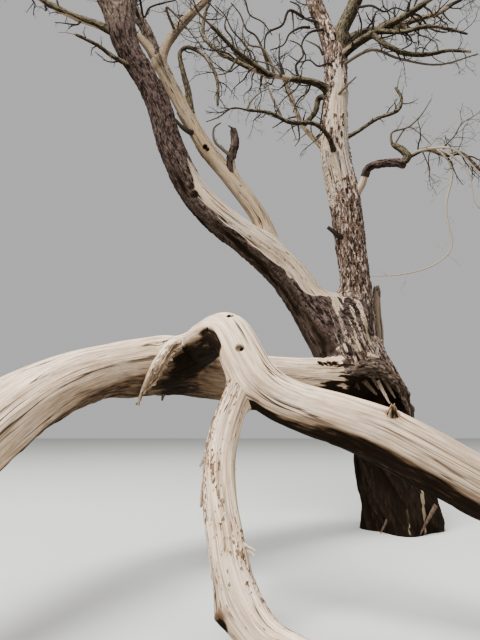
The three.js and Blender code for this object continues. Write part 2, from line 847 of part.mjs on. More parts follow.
function buildTwigMass(name, spec) {
  const limb = limbs[spec.on];
  const heading = limb.tangent(1).clone();
  const start = limb.place(1).addScaledVector(heading, GAP);
  const number = evenNumbers(spec.seed);
  const thick = limb.radius(1) * 2 * STEM_GIRTH;
  const space = {
    middle: start.clone().addScaledVector(heading, spec.reach / 2),
    radius: spec.reach * SPACE_WIDTH,
  };
  const stem = twigPlaces(start, heading, spec.reach, spec.lift, number, STEM_TURNS);
  // The first stretch of the stem keeps the limb's own direction, so that the two ends face squarely.
  stem[1] = start.clone().addScaledVector(heading, spec.reach / STEM_TURNS);
  const thinnest = THINNEST_TWIG * FIRST_TWIG_LEAST;
  const solidsOfMass = [twigSolid(stem, thick, Math.max(thinnest, thick * STEM_TIP), STEM_SIDES)];
  const taken = [{ places: stem, thick }];
  const stemCurve = new THREE.CatmullRomCurve3(stem);
  for (let i = 0; i < TWIGS_ON_STEM; i += 1) {
    const share = i / (TWIGS_ON_STEM - 1);
    const along = FIRST_TWIG_AT + (LAST_TWIG_AT - FIRST_TWIG_AT) * share;
    const root = stemCurve.getPointAt(along);
    const turn = TURN_BETWEEN_TWIGS * i + number() * TURN_SPREAD;
    const away = sideways(stemCurve.getTangentAt(along), turn);
    const way = stemCurve.getTangentAt(along).addScaledVector(away, TWIG_LEAN).normalize();
    const length = spec.reach * TWIG_LENGTH * (1 - SHORTENING * share);
    const girth = Math.max(thinnest, thick * (1 - TWIG_TAPER * along) * TWIG_THICKNESS);
    const places = twigPlaces(root, way, length, spec.lift, number, TWIG_TURNS);
    if (!insideSpace(places, space) || !clearOfOthers(places, girth, name)) {
      continue;
    }
    solidsOfMass.push(twigSolid(places, girth, Math.max(THINNEST_TWIG, girth * TWIG_TIP), TWIG_SIDES));
    taken.push({ places, thick: girth });
    const curve = new THREE.CatmullRomCurve3(places);
    const sprouts = i < LOW_TWIGS ? TWIGS_ON_LOW_TWIG : TWIGS_ON_HIGH_TWIG;
    for (let j = 0; j < sprouts; j += 1) {
      const at = FIRST_SPROUT_AT + BETWEEN_SPROUTS * j;
      const sprout = curve.getPointAt(at);
      const aside = sideways(curve.getTangentAt(at), TURN_BETWEEN_TWIGS * (j + 1) + number());
      const run = curve.getTangentAt(at).addScaledVector(aside, TWIG_LEAN).normalize();
      const finer = Math.max(THINNEST_TWIG, girth * (1 - TWIG_TAPER * at) * TWIG_THICKNESS);
      const bends = twigPlaces(sprout, run, length * TWIG_LENGTH, spec.lift, number, 1);
      if (insideSpace(bends, space) && clearOfOthers(bends, finer, name)) {
        solidsOfMass.push(twigSolid(bends, finer, THINNEST_TWIG * LAST_TIP, TWIG_SIDES));
        taken.push({ places: bends, thick: finer });
      }
    }
  }
  nodes.set(name, { solid: largestPiece(wasm.Manifold.union(solidsOfMass)), look: 'twig' });
  for (const twig of taken) {
    const curve = new THREE.CatmullRomCurve3(twig.places);
    for (let i = 0; i <= SAMPLES_PER_TWIG * 2; i += 1) {
      const place = curve.getPoint(i / (SAMPLES_PER_TWIG * 2));
      occupied.push({ owner: name, place, radius: twig.thick / 2 });
    }
  }
}

Object.entries(LIMBS).forEach(([name, spec], i) => buildLimb(name, spec, i * TURN_BETWEEN_LIMBS));
Object.entries(TWIG_MASSES).forEach(([name, spec]) => buildTwigMass(name, spec));
nodes.forEach((node, name) => addMesh(name, node));

export default group;
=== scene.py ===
import math

import bpy
import numpy as np
from bpy.props import FloatProperty, FloatVectorProperty, PointerProperty
from bpy.types import Operator, Panel, PropertyGroup
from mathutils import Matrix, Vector


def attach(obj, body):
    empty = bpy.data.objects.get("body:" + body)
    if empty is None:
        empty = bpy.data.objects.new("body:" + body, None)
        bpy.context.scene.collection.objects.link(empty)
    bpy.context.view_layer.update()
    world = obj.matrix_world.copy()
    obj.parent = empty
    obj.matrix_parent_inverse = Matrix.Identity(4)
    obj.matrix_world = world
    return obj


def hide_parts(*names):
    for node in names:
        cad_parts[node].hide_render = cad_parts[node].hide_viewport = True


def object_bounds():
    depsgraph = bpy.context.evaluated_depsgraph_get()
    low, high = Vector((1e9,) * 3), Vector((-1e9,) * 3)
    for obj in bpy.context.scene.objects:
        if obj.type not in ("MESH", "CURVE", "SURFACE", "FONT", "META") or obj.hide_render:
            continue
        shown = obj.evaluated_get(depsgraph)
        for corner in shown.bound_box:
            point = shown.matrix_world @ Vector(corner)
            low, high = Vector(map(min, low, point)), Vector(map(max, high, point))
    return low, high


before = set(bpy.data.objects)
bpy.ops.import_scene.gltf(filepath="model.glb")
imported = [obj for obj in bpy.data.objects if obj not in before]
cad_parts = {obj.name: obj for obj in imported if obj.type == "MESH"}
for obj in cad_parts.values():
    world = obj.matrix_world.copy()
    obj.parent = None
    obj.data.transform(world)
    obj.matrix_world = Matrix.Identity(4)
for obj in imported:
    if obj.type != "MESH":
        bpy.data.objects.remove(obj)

bl_info = {
    "name": "Dead Pine",
    "version": (1, 0, 0),
    "blender": (4, 5, 0),
    "location": "View3D > Sidebar > Dead Pine",
    "description": "Dresses the solids of a dead pine with relief, bark, cracks and twigs",
    "category": "Object",
}

CAD_BOX = [list(corner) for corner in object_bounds()]

# ---- The limbs: the same places and thicknesses as the solids have, in millimetres ----

MM = 0.001

# Each limb: what it grows from, at what share of that one's length and how thick; how it ends; its places,
# each with the thickness there.
LIMBS = {
    "trunk": (None, "dome", [
        (0, 0, 0, 930), (-15, 0, 280, 860), (-80, 0, 730, 800), (-165, 0, 1200, 745), (-290, 0, 1600, 725),
        (-440, 0, 1950, 750), (-560, 10, 2290, 700)]),
    "leaning_stem": (("trunk", 0.86, 620), "dome", [
        (-910, -20, 2510, 480), (-1310, -80, 3070, 430), (-1730, -130, 3410, 398), (-2130, -185, 3720, 358),
        (-2440, -215, 4060, 318), (-2700, -300, 4560, 288), (-2890, -420, 5160, 266),
        (-3040, -480, 5450, 264), (-3240, -550, 5760, 268), (-3370, -600, 6160, 262)]),
    "upright_stem": (("trunk", 0.84, 480), "dome", [
        (-360, 45, 2420, 365), (-365, 50, 2720, 328), (-425, 50, 3350, 346), (-485, 50, 4000, 374),
        (-590, 50, 4680, 368), (-590, 50, 5150, 352), (-555, 30, 5580, 300), (-545, 5, 6050, 292),
        (-530, 0, 6260, 270)]),
    "second_stem": (("leaning_stem", 0.29, 250), "dome", [
        (-1560, 110, 3760, 224), (-1990, 250, 4460, 217), (-2300, 300, 4880, 207), (-2760, 330, 5740, 196),
        (-3060, 330, 6350, 168)]),
    "low_limb": (("trunk", 0.66, 570), "flat", [
        (-820, -360, 1625, 528), (-1310, -710, 1615, 508), (-1750, -1070, 1615, 496),
        (-2140, -1380, 1650, 480), (-2400, -1640, 1665, 462), (-2650, -1910, 1650, 458),
        (-2960, -2290, 1580, 434), (-3165, -2770, 1425, 446), (-3300, -3260, 1200, 462),
        (-3430, -3800, 830, 400), (-3530, -4240, 490, 300), (-3620, -4620, 270, 216),
        (-3710, -4980, 190, 150)]),
    "arch_limb": (("low_limb", 0.48, 310), "flat", [
        (-2240, -1930, 1815, 330), (-2130, -2190, 1855, 312), (-2010, -2430, 1870, 312),
        (-1925, -2610, 1825, 314), (-1865, -2720, 1730, 312), (-1810, -2780, 1610, 318),
        (-1730, -2815, 1480, 322), (-1600, -2840, 1375, 316), (-1420, -2895, 1295, 316),
        (-1180, -3040, 1210, 332), (-950, -3160, 1115, 350), (-710, -3300, 975, 343),
        (-500, -3380, 850, 325), (-120, -3500, 640, 280), (380, -3640, 380, 210), (760, -3790, 210, 156),
        (1090, -3950, 150, 120)]),
    "foot_limb": (("arch_limb", 0.3, 170), "stub", [
        (-1838, -2800, 1510, 150), (-1880, -2850, 1350, 200), (-1940, -2910, 1180, 206),
        (-1980, -2985, 990, 204), (-1972, -3140, 745, 206), (-1932, -3300, 555, 206),
        (-1890, -3430, 385, 206), (-1825, -3520, 250, 204), (-1730, -3620, 150, 196),
        (-1560, -3740, 110, 168), (-1370, -3850, 95, 130)]),
    "torn_splinter": (("arch_limb", 0.09, 110), "stub", [
        (-2396, -2070, 1815, 128), (-2444, -2130, 1755, 118), (-2497, -2180, 1660, 122),
        (-2553, -2200, 1545, 112), (-2600, -2205, 1475, 68), (-2636, -2205, 1410, 32),
        (-2656, -2210, 1335, 24)]),
    "knot_stub": (("arch_limb", 0.555, 76), "stub", [(-945, -3290, 1245, 58), (-952, -3330, 1306, 40)]),
    "trunk_snag": (("trunk", 0.74, 200), "stub", [
        (-120, 260, 1960, 150), (-60, 300, 2300, 130), (-72, 305, 2600, 122), (-58, 300, 2950, 100)]),
    "leaning_fork_left": (("leaning_stem", 0.955, 230), "flat", [
        (-3530, -650, 6420, 224), (-3790, -750, 6880, 196), (-4130, -850, 7440, 150),
        (-4320, -900, 7960, 96)]),
    "leaning_fork_right": (("leaning_stem", 0.965, 230), "flat", [
        (-3270, -600, 6500, 236), (-3210, -560, 7080, 208), (-3130, -480, 7760, 158),
        (-3220, -430, 8420, 98)]),
    "leaning_side_bough": (("leaning_stem", 0.955, 104), "flat", [
        (-3640, -590, 6100, 98), (-3830, -680, 6110, 92), (-4180, -800, 6210, 74), (-4520, -860, 6420, 52)]),
    "leaning_thin_bough": (("leaning_stem", 0.86, 64), "stub", [
        (-3410, -700, 5580, 48), (-3540, -860, 5600, 40), (-3740, -1100, 5560, 28)]),
    "second_fork_right": (("second_stem", 0.96, 136), "flat", [
        (-2880, 310, 6570, 130), (-2530, 300, 7050, 120), (-2200, 310, 7420, 106), (-1880, 360, 7920, 74)]),
    "second_fork_left": (("second_stem", 0.96, 150), "flat", [
        (-3200, 345, 6760, 142), (-3400, 350, 7130, 142), (-3600, 390, 7700, 120), (-3640, 520, 8220, 78)]),
    "second_stub": (("second_stem", 0.97, 124), "stub", [(-3225, 250, 6520, 108), (-3430, 190, 6700, 88)]),
    "hooked_branch": (("second_stem", 0.66, 87), "stub", [
        (-2585, 250, 5780, 80), (-2640, 200, 5980, 68), (-2690, 180, 6300, 50), (-2610, 160, 6360, 49),
        (-2480, 140, 6310, 47), (-2300, 75, 6110, 43), (-2160, 0, 5740, 38), (-2150, 0, 5360, 27)]),
    "short_snag": (("second_stem", 0.37, 116), "stub", [
        (-1968, 150, 4650, 98), (-1915, 100, 4870, 84), (-1945, 100, 5090, 66)]),
    "leader_left": (("upright_stem", 0.955, 214), "flat", [
        (-640, 0, 6400, 208), (-780, 0, 6840, 202), (-880, 30, 7250, 188), (-960, 120, 7850, 160),
        (-900, 240, 8500, 126), (-980, 300, 9080, 84)]),
    "leader_right": (("upright_stem", 0.955, 184), "flat", [
        (-455, -45, 6470, 173), (-350, -100, 6680, 171), (-190, -210, 7020, 158), (40, -340, 7480, 132),
        (180, -420, 8040, 84)]),
    "right_bough_near": (("upright_stem", 0.945, 108), "flat", [
        (-335, -200, 6110, 96), (-40, -370, 6210, 88), (210, -500, 6270, 76), (480, -650, 6370, 60)]),
    "right_bough_droop": (("right_bough_near", 0.44, 66), "stub", [
        (60, -420, 5930, 62), (270, -420, 5830, 58), (560, -400, 5830, 48), (860, -380, 5900, 34),
        (1120, -400, 5860, 22)]),
    "right_bough_low": (("right_bough_near", 0.5, 60), "stub", [
        (210, -560, 6030, 54), (480, -600, 6070, 46), (760, -620, 6020, 36), (980, -640, 5930, 22)]),
    "right_bough_far": (("leader_right", 0.1, 108), "flat", [
        (-110, -10, 6480, 96), (290, 90, 6590, 90), (560, 100, 6740, 82), (910, 100, 6850, 70),
        (1140, 100, 6995, 58)]),
    "left_bough_upper": (("upright_stem", 0.825, 138), "flat", [
        (-800, -100, 5610, 92), (-1250, -250, 5600, 69), (-1560, -300, 5630, 61), (-1820, -300, 5760, 54),
        (-2150, -250, 6010, 48), (-2330, -200, 6250, 43), (-2335, -200, 6510, 39), (-2290, -200, 6720, 36)]),
    "left_bough_fork": (("left_bough_upper", 0.38, 58), "flat", [
        (-1730, -430, 5710, 50), (-1930, -600, 5760, 48), (-2190, -850, 5870, 33)]),
    "left_bough_back": (("upright_stem", 0.615, 74), "flat", [
        (-810, 250, 4990, 62), (-985, 390, 5330, 58), (-1070, 450, 5630, 57), (-1180, 550, 6080, 45)]),
    "left_bough_lower": (("upright_stem", 0.6, 78), "flat", [
        (-715, -250, 4750, 54), (-910, -420, 4840, 46), (-1250, -550, 4790, 42), (-1490, -620, 4870, 36),
        (-1770, -650, 4890, 26)]),
    "curved_stub": (("upright_stem", 0.825, 84), "stub", [
        (-755, 200, 5600, 76), (-800, 250, 5440, 72), (-960, 250, 5210, 46)]),
    "right_bough_thin": (("upright_stem", 0.67, 60), "stub", [
        (-300, -60, 4950, 46), (-70, -200, 5050, 40), (170, -300, 5110, 38), (215, -310, 5270, 36),
        (150, -300, 5430, 28)]),
    "bent_bough": (("upright_stem", 0.465, 96), "dome", [
        (-285, -50, 4190, 84), (-200, -130, 4400, 74), (-40, -210, 4420, 77), (120, -290, 4390, 82),
        (215, -330, 4330, 88)]),
    "bent_bough_knob": (("bent_bough", 0.93, 84), "stub", [
        (232, -350, 4430, 88), (185, -350, 4520, 80), (60, -310, 4630, 58)]),
    "bent_bough_side": (("bent_bough_knob", 0.28, 54), "flat", [
        (430, -430, 4490, 48), (640, -550, 4360, 46), (790, -600, 4350, 40), (980, -650, 4110, 32)]),
    "back_bough_high": (("leader_left", 0.52, 104), "flat", [
        (-780, 520, 8020, 92), (-520, 980, 8200, 78), (-420, 1380, 8520, 54)]),
    "back_bough_left": (("leaning_fork_right", 0.5, 104), "flat", [
        (-3100, -60, 7740, 92), (-2960, 480, 8020, 78), (-3020, 960, 8420, 54)]),
    "back_bough_right": (("leader_right", 0.58, 100), "flat", [
        (170, 80, 7820, 88), (400, 560, 8220, 74), (470, 960, 8640, 52)]),
    "front_bough_high": (("leader_left", 0.6, 104), "flat", [
        (-860, -260, 8180, 92), (-700, -720, 8380, 78), (-610, -1120, 8740, 54)]),
    "front_bough_left": (("leaning_fork_left", 0.42, 110), "flat", [
        (-3960, -1160, 7260, 94), (-4060, -1560, 7440, 80), (-4220, -1900, 7780, 54)]),
}

# The torn lip of bark over the trunk's hollow, and the hollow itself.
LIP = [(-750, -420, 1590, 200), (-690, -440, 1750, 225), (-510, -430, 1810, 195), (-310, -400, 1800, 160),
       (-120, -350, 1710, 138), (20, -290, 1560, 112), (110, -230, 1350, 88), (150, -170, 1180, 66)]
HOLLOW_MIDDLE = np.array((-0.115, -0.33, 1.34))
HOLLOW_HALF_SIZES = np.array((0.185, 0.23, 0.4))

# Root flare and unevenness of girth, as the solids have them.
FLARE_LOBES = 5
FLARE_DEPTH = 0.1
FLARE_HEIGHT = 0.62
FLATTENING = 0.045
WAVINESS = 0.03
TWIST_LENGTH = 1.7

# How each limb is dressed: its slot, its finish and how fine its mesh is, in metres. Most boughs are THIN,
# and those at the back and front, which the photo doesn't show, are alike.
THIN = ("bark", "thin_bark")
UNSEEN_BOUGHS = (
    "back_bough_high", "back_bough_left", "back_bough_right", "front_bough_high", "front_bough_left")
SKINS = {
    "trunk": ("fissured_wood", "fissured", 0.012),
    "leaning_stem": ("bare_wood", "half_barked", 0.013),
    "upright_stem": ("bark", "flaking", 0.012),
    "second_stem": ("bare_wood", "pale", 0.014),
    "low_limb": ("bare_wood", "driftwood", 0.012),
    "arch_limb": ("bare_wood", "driftwood", 0.0085),
    "foot_limb": ("bare_wood", "driftwood", 0.0065),
    "torn_splinter": ("bare_wood", "splinter", 0.006),
    "knot_stub": ("bare_wood", "knot", 0.005),
    "trunk_snag": ("bare_wood", "snag", 0.01),
    "leaning_fork_left": ("bark", "barked", 0.016),
    "leaning_fork_right": ("bark", "barked", 0.016),
    "leaning_side_bough": (*THIN, 0.014),
    "leaning_thin_bough": (*THIN, 0.012),
    "second_fork_right": ("bare_wood", "pale", 0.014),
    "second_fork_left": ("bark", "barked", 0.014),
    "second_stub": ("bare_wood", "pale", 0.014),
    "hooked_branch": (*THIN, 0.011),
    "short_snag": ("bark", "half_barked", 0.01),
    "leader_left": ("bare_wood", "flaking", 0.016),
    "leader_right": (*THIN, 0.015),
    "right_bough_near": (*THIN, 0.012),
    "right_bough_droop": (*THIN, 0.01),
    "right_bough_low": (*THIN, 0.01),
    "right_bough_far": (*THIN, 0.012),
    "left_bough_upper": (*THIN, 0.012),
    "left_bough_fork": (*THIN, 0.011),
    "left_bough_back": ("bare_wood", "pale", 0.012),
    "left_bough_lower": (*THIN, 0.01),
    "curved_stub": (*THIN, 0.011),
    "right_bough_thin": (*THIN, 0.01),
    "bent_bough": ("bark", "half_barked", 0.01),
    "bent_bough_knob": (*THIN, 0.01),
    "bent_bough_side": (*THIN, 0.01),
    **{name: (*THIN, 0.016) for name in UNSEEN_BOUGHS},
}
LIP_FINENESS = 0.011

# Limbs that stand for several nodes, and those that are fused to a neighbour and stand for none.
SPLIT = {
    "leaning_stem": ("leaning_stem_low", "leaning_stem_high"),
    "upright_stem": ("upright_stem_low", "upright_stem_high"),
    "low_limb": ("low_limb_inner", "low_limb_middle", "low_limb_outer"),
    "arch_limb": ("arch_limb_rise", "arch_limb_fall", "right_limb_inner", "right_limb_outer"),
    "hooked_branch": ("hooked_branch_rise", "hooked_branch_fall"),
}
FUSED = (
    "knot_stub", "leaning_thin_bough", "second_stub", "short_snag", "right_bough_droop", "right_bough_low",
    "curved_stub", "right_bough_thin", "bent_bough_knob")

# The twig masses, as the source has them: the limb that each ends, its reach in millimetres, its seed, and
# how much its twigs lift or hang.
TWIG_MASSES = {
    "twigs_top": ("leader_left", 1150, 11, 0.45),
    "twigs_leader_right": ("leader_right", 1080, 23, 0.4),
    "twigs_right_near": ("right_bough_near", 960, 37, 0.1),
    "twigs_right_far": ("right_bough_far", 980, 41, 0.1),
    "twigs_left_upper": ("left_bough_upper", 820, 53, 0.25),
    "twigs_left_fork": ("left_bough_fork", 640, 67, 0.1),
    "twigs_left_back": ("left_bough_back", 560, 71, 0.3),
    "twigs_left_lower": ("left_bough_lower", 520, 83, 0.0),
    "twigs_bent_bough": ("bent_bough_side", 760, 97, -0.5),
    "twigs_leaning_left": ("leaning_fork_left", 1080, 101, 0.35),
    "twigs_leaning_right": ("leaning_fork_right", 1080, 113, 0.4),
    "twigs_leaning_side": ("leaning_side_bough", 820, 127, 0.15),
    "twigs_second_right": ("second_fork_right", 960, 131, 0.35),
    "twigs_second_left": ("second_fork_left", 960, 149, 0.35),
    "twigs_back_high": ("back_bough_high", 980, 157, 0.3),
    "twigs_back_left": ("back_bough_left", 940, 163, 0.3),
    "twigs_back_right": ("back_bough_right", 940, 191, 0.3),
    "twigs_front_high": ("front_bough_high", 980, 199, 0.3),
    "twigs_front_left": ("front_bough_left", 980, 211, 0.3),
    "twigs_low_limb": ("low_limb", 760, 173, 0.3),
    "twigs_right_limb": ("arch_limb", 700, 181, 0.35),
}


# ---- Even randomness over space ----

# Large odd numbers that spread the places of the lattice, and the greatest whole number of 32 bits.
SPREAD = (374761393, 668265263, 2246822519, 3266489917)
GREATEST = 0xFFFFFFFF

# Further than any place is from what is looked for.
FAR = 9.0


def lattice(i, j, k, seed):
    """A number from 0 to 1 for each whole-numbered place, the same every run."""
    mix = sum(number * factor for number, factor in zip((i, j, k, seed), SPREAD)) & GREATEST
    mix = mix.astype(np.uint32)
    mix ^= mix >> np.uint32(15)
    mix *= np.uint32(SPREAD[2])
    mix ^= mix >> np.uint32(13)
    mix *= np.uint32(SPREAD[3])
    mix ^= mix >> np.uint32(16)
    return mix.astype(np.float64) / GREATEST


def ripple(q, seed):
    """Smooth noise from -1 to 1 at each place."""
    base = np.floor(q).astype(np.int64)
    part = q - base
    ease = part * part * part * (part * (part * 6 - 15) + 10)
    total = 0.0
    for dx in (0, 1):
        wx = ease[..., 0] if dx else 1 - ease[..., 0]
        for dy in (0, 1):
            wy = ease[..., 1] if dy else 1 - ease[..., 1]
            for dz in (0, 1):
                wz = ease[..., 2] if dz else 1 - ease[..., 2]
                corner = lattice(base[..., 0] + dx, base[..., 1] + dy, base[..., 2] + dz, seed)
                total = total + corner * wx * wy * wz
    return total * 2 - 1


def ripples(q, seed, octaves):
    """Several sizes of smooth noise laid over one another, from about -1 to 1."""
    total, weight, share = 0.0, 1.0, 0.0
    for octave in range(octaves):
        total = total + weight * ripple(q * 2.03 ** octave, seed + octave * 17)
        share += weight
        weight *= 0.5
    return total / share * 1.4


def plates(q, seed):
    """For each place: how far it is from the edge of its plate, and a number that its plate alone has."""
    base = np.floor(q).astype(np.int64)
    nearest = np.full(q.shape[:-1], FAR)
    second = nearest.copy()
    own = np.zeros(q.shape[:-1])
    for dx in (-1, 0, 1):
        for dy in (-1, 0, 1):
            for dz in (-1, 0, 1):
                i, j, k = base[..., 0] + dx, base[..., 1] + dy, base[..., 2] + dz
                away = np.sqrt((i + lattice(i, j, k, seed) - q[..., 0]) ** 2
                               + (j + lattice(i, j, k, seed + 1) - q[..., 1]) ** 2
                               + (k + lattice(i, j, k, seed + 2) - q[..., 2]) ** 2)
                closer = away < nearest
                second = np.where(closer, nearest, np.minimum(second, away))
                own = np.where(closer, lattice(i, j, k, seed + 3), own)
                nearest = np.where(closer, away, nearest)
    return second - nearest, own


def step(low, high, value):
    """0 below low, 1 above high and smooth between."""
    t = np.clip((value - low) / (high - low), 0, 1)
    return t * t * (3 - 2 * t)


def unit(v):
    return v / np.maximum(np.linalg.norm(v, axis=-1, keepdims=True), 1e-12)


def read_off(u, along, rows):
    """The rows, which lie at the shares in along, read off at each u."""
    return np.stack([np.interp(u, along, rows[:, i]) for i in range(3)], axis=-1)


def reaches(line):
    """How far along a line each of its places is."""
    return np.concatenate([[0], np.cumsum(np.linalg.norm(np.diff(line, axis=0), axis=1))])


# ---- The middle line of a limb ----

def line_through(points, per_span):
    """The smooth line through the points: its places, and how far along the list of points each one is."""
    points = np.asarray(points, float)
    last = len(points) - 1
    before = np.vstack([2 * points[0] - points[1], points, 2 * points[-1] - points[-2]])
    places, along = [], []
    for span in range(last):
        p0, p1, p2, p3 = before[span:span + 4]
        d0, d1, d2 = (max(np.linalg.norm(b - a) ** 0.5, 1e-6) for a, b in ((p0, p1), (p1, p2), (p2, p3)))
        t1 = ((p1 - p0) / d0 - (p2 - p0) / (d0 + d1) + (p2 - p1) / d1) * d1
        t2 = ((p2 - p1) / d1 - (p3 - p1) / (d1 + d2) + (p3 - p2) / d2) * d1
        ends = span == last - 1
        t = np.linspace(0, 1, per_span + (1 if ends else 0), endpoint=ends)[:, None]
        square = (-3 * p1 + 3 * p2 - 2 * t1 - t2) * t ** 2
        places.append(p1 + t1 * t + square + (2 * p1 - 2 * p2 + t1 + t2) * t ** 3)
        along.append(span + t[:, 0])
    return np.vstack(places), np.concatenate(along)


# How finely a limb's line is drawn between its places, how long its coarser steps are, in metres, how few of
# them it may have, how near the places are that give the heading between them, and within how many metres its
# unevenness counts.
LINE_STEPS = 40
COARSE_STEP = 0.05
FEWEST_STEPS = 12
NEARBY = 1e-3
UNEVEN_WITHIN = 0.6


class Limb:
    """A limb's middle line with its thickness and the directions across it."""

    def __init__(self, name, waypoints, seed, flared=False, end="dome"):
        self.name, self.seed, self.flared, self.end = name, seed, flared, end
        self.root_width = waypoints[0][3] * MM
        points = np.array([w[:3] for w in waypoints], float) * MM
        thick = np.array([w[3] for w in waypoints], float) * MM
        places, along = line_through(points, LINE_STEPS)
        reach = reaches(places)
        self.length = reach[-1]
        self._u = reach / self.length
        self._places = places
        self._radius = np.interp(along, np.arange(len(thick)), thick) / 2
        self.widest = self._radius.max()
        count = max(FEWEST_STEPS, int(self.length / COARSE_STEP))
        self.coarse_u = np.linspace(0, 1, count + 1)
        self.coarse = self.place(self.coarse_u)
        self.tangents = self._tangents(self.coarse_u)
        self.normals, self.binormals = self._turned(self.tangents)

    def place(self, u):
        return read_off(u, self._u, self._places)

    def _tangents(self, u):
        return unit(self.place(np.minimum(u + NEARBY, 1)) - self.place(np.maximum(u - NEARBY, 0)))

    def _turned(self, tangents):
        """Directions across the limb that turn with it and do not spin."""
        size = np.abs(tangents[0])
        pick = max(i for i in range(3) if size[i] == size.min())
        side = unit(np.cross(tangents[0], np.eye(3)[pick]))
        normals = [np.cross(tangents[0], side)]
        for a, b in zip(tangents[:-1], tangents[1:]):
            turn = np.cross(a, b)
            size = np.linalg.norm(turn)
            n = normals[-1]
            if size > 1e-9:
                turn = turn / size
                angle = math.acos(max(-1.0, min(1.0, float(a @ b))))
                n = (n * math.cos(angle) + np.cross(turn, n) * math.sin(angle)
                     + turn * (turn @ n) * (1 - math.cos(angle)))
            normals.append(n)
        normals = np.array(normals)
        return normals, np.cross(tangents, normals)

    def across(self, u):
        """The heading and the two directions across the limb at each u."""
        frames = (self.tangents, self.normals, self.binormals)
        return tuple(unit(read_off(u, self.coarse_u, rows)) for rows in frames)

    def heading(self, u):
        return self._tangents(np.array([u]))[0]

    def radius(self, u):
        return np.interp(u, self._u, self._radius)

    def girth(self, u, angle):
        """The plain radius with the limb's unevenness and, on the trunk, its root flare."""
        turn = u * self.length / TWIST_LENGTH + self.seed
        wide = 1 + FLATTENING * np.cos(2 * angle + turn) + WAVINESS * np.cos(3 * angle - 2 * turn)
        wide = wide * self.radius(u)
        if self.flared:
            height = self.place(u)[..., 2]
            fade = np.exp(-3 * (height / FLARE_HEIGHT) ** 2)
            wide = wide * (1 + FLARE_DEPTH * fade * np.cos(FLARE_LOBES * angle + 0.7))
        return wide

    def away(self, p):
        """How far each place is outside the limb's surface, and below nought inside."""
        flat = p.reshape(-1, 3)
        starts, runs = self.coarse[:-1], np.diff(self.coarse, axis=0)
        lengths = np.maximum((runs ** 2).sum(1), 1e-12)
        best = np.full(len(flat), np.inf)
        best_u = np.zeros(len(flat))
        radii = self.radius(self.coarse_u)
        for i, (start, run) in enumerate(zip(starts, runs)):
            t = np.clip((flat - start) @ run / lengths[i], 0, 1)
            gap = np.linalg.norm(flat - start - t[:, None] * run, axis=1)
            gap = gap - (radii[i] + (radii[i + 1] - radii[i]) * t)
            closer = gap < best
            best = np.where(closer, gap, best)
            best_u = np.where(closer, (i + t) / len(runs), best_u)
        close = best < UNEVEN_WITHIN
        if close.any():
            u = best_u[close]
            offset = flat[close] - self.place(u)
            _, n, b = self.across(u)
            angle = np.arctan2((offset * b).sum(1), (offset * n).sum(1))
            best[close] += self.radius(u) - self.girth(u, angle)
        return best.reshape(p.shape[:-1])


def grow_limbs():
    limbs = {}
    for order, (name, (root, end, path)) in enumerate(LIMBS.items()):
        waypoints = list(path)
        if root:
            parent, along, width = root
            waypoints.insert(0, (*limbs[parent].place(np.array(along)) / MM, width))
        limbs[name] = Limb(name, waypoints, order * 1.7, name == "trunk", end)
    limbs["lip"] = Limb("lip", LIP, 0.0, False, "stub")
    return limbs


LIMB = grow_limbs()

# What each limb grows from.
PARENT = {name: root[0] if root else None for name, (root, _, _) in LIMBS.items()}


def kin(name):
    """The limbs that a limb flows into: what it grows from, what grows from it and what shares its root."""
    if name == "lip":
        return ["trunk", "low_limb"]
    found = [other for other in LIMBS
             if other != name and (PARENT[other] in (name, PARENT[name]) or other == PARENT[name])]
    return found + ["lip"] if name in ("trunk", "low_limb") else found


# ---- Relief: how each kind of surface stands in and out, and where it is bark, dark or pale ----

def grain_places(limb, u, angle, radius):
    """The limb straightened out: across, across and along, in metres."""
    along = np.broadcast_to((u * limb.length)[:, None], radius.shape)
    girth = np.sqrt(limb.radius(u)[:, None] * np.median(limb.radius(u))) * np.ones_like(radius)
    return np.stack([np.cos(angle) * girth, np.sin(angle) * girth, along], axis=-1)


def stretched(q, across, along, offset):
    return q / np.array((across, across, along)) + offset


def crack_lines(q, seed, spacing, length, width):
    """1 in a crack along the grain, fading to 0 beside it."""
    lines = np.abs(ripple(stretched(q, spacing, length, seed * 7.3), seed))
    where = step(0.05, 0.4, ripple(stretched(q, spacing * 2.2, length * 0.7, seed * 3.1), seed + 5))
    return (1 - step(0, width, lines)) * where


# How wide the plates of each finish's bark are, and how thick the bark is, in metres.
BARK_PLATES = {
    "pale": (0.04, 0.006), "thin_bark": (0.022, 0.0035), "barked": (0.034, 0.008),
    "torn_bark": (0.028, 0.012), "half_barked": (0.034, 0.009), "flaking": (0.03, 0.012),
    "fissured": (0.036, 0.012),
}
PLATE_LENGTH = 3.4


def bark_relief(q, seed, cell, thickness):
    """Long ragged plates of bark: their height, and how deep in a gap between plates each place is."""
    sizes = (0.06, 0.06, 0.1)
    warp = np.stack([ripple(q / size, seed + 31 + i) for i, size in enumerate(sizes)], axis=-1)
    edge, own = plates(stretched(q + warp * (0.03, 0.03, 0.06), cell, cell * PLATE_LENGTH, seed), seed)
    ridges = ripples(stretched(q, cell * 0.7, cell * 5, seed), seed + 36, 2)
    rough = ripples(q / 0.02, seed + 40, 2)
    rise = step(0.0, 0.3, edge) * (0.3 + 0.8 * own) + 0.45 * ridges + 0.3 * rough
    return thickness * rise, (1 - step(0.0, 0.16, edge)) * step(-0.2, 0.3, rough + 0.3)


def wood_relief(q, seed, size):
    """Bare wood: flutes along the grain, fine ridges and cracks."""
    flutes = ripples(stretched(q, 0.07, 0.9, seed), seed, 2)
    ridges = ripple(stretched(q, 0.018, 0.4, seed), seed + 3)
    cracks = np.maximum(0.8 * crack_lines(q, seed + 8, 0.06, 3.0, 0.03),
                        0.7 * crack_lines(q, seed + 12, 0.03, 1.6, 0.04))
    return size * (0.010 * flutes + 0.0018 * ridges - 0.007 * cracks), cracks


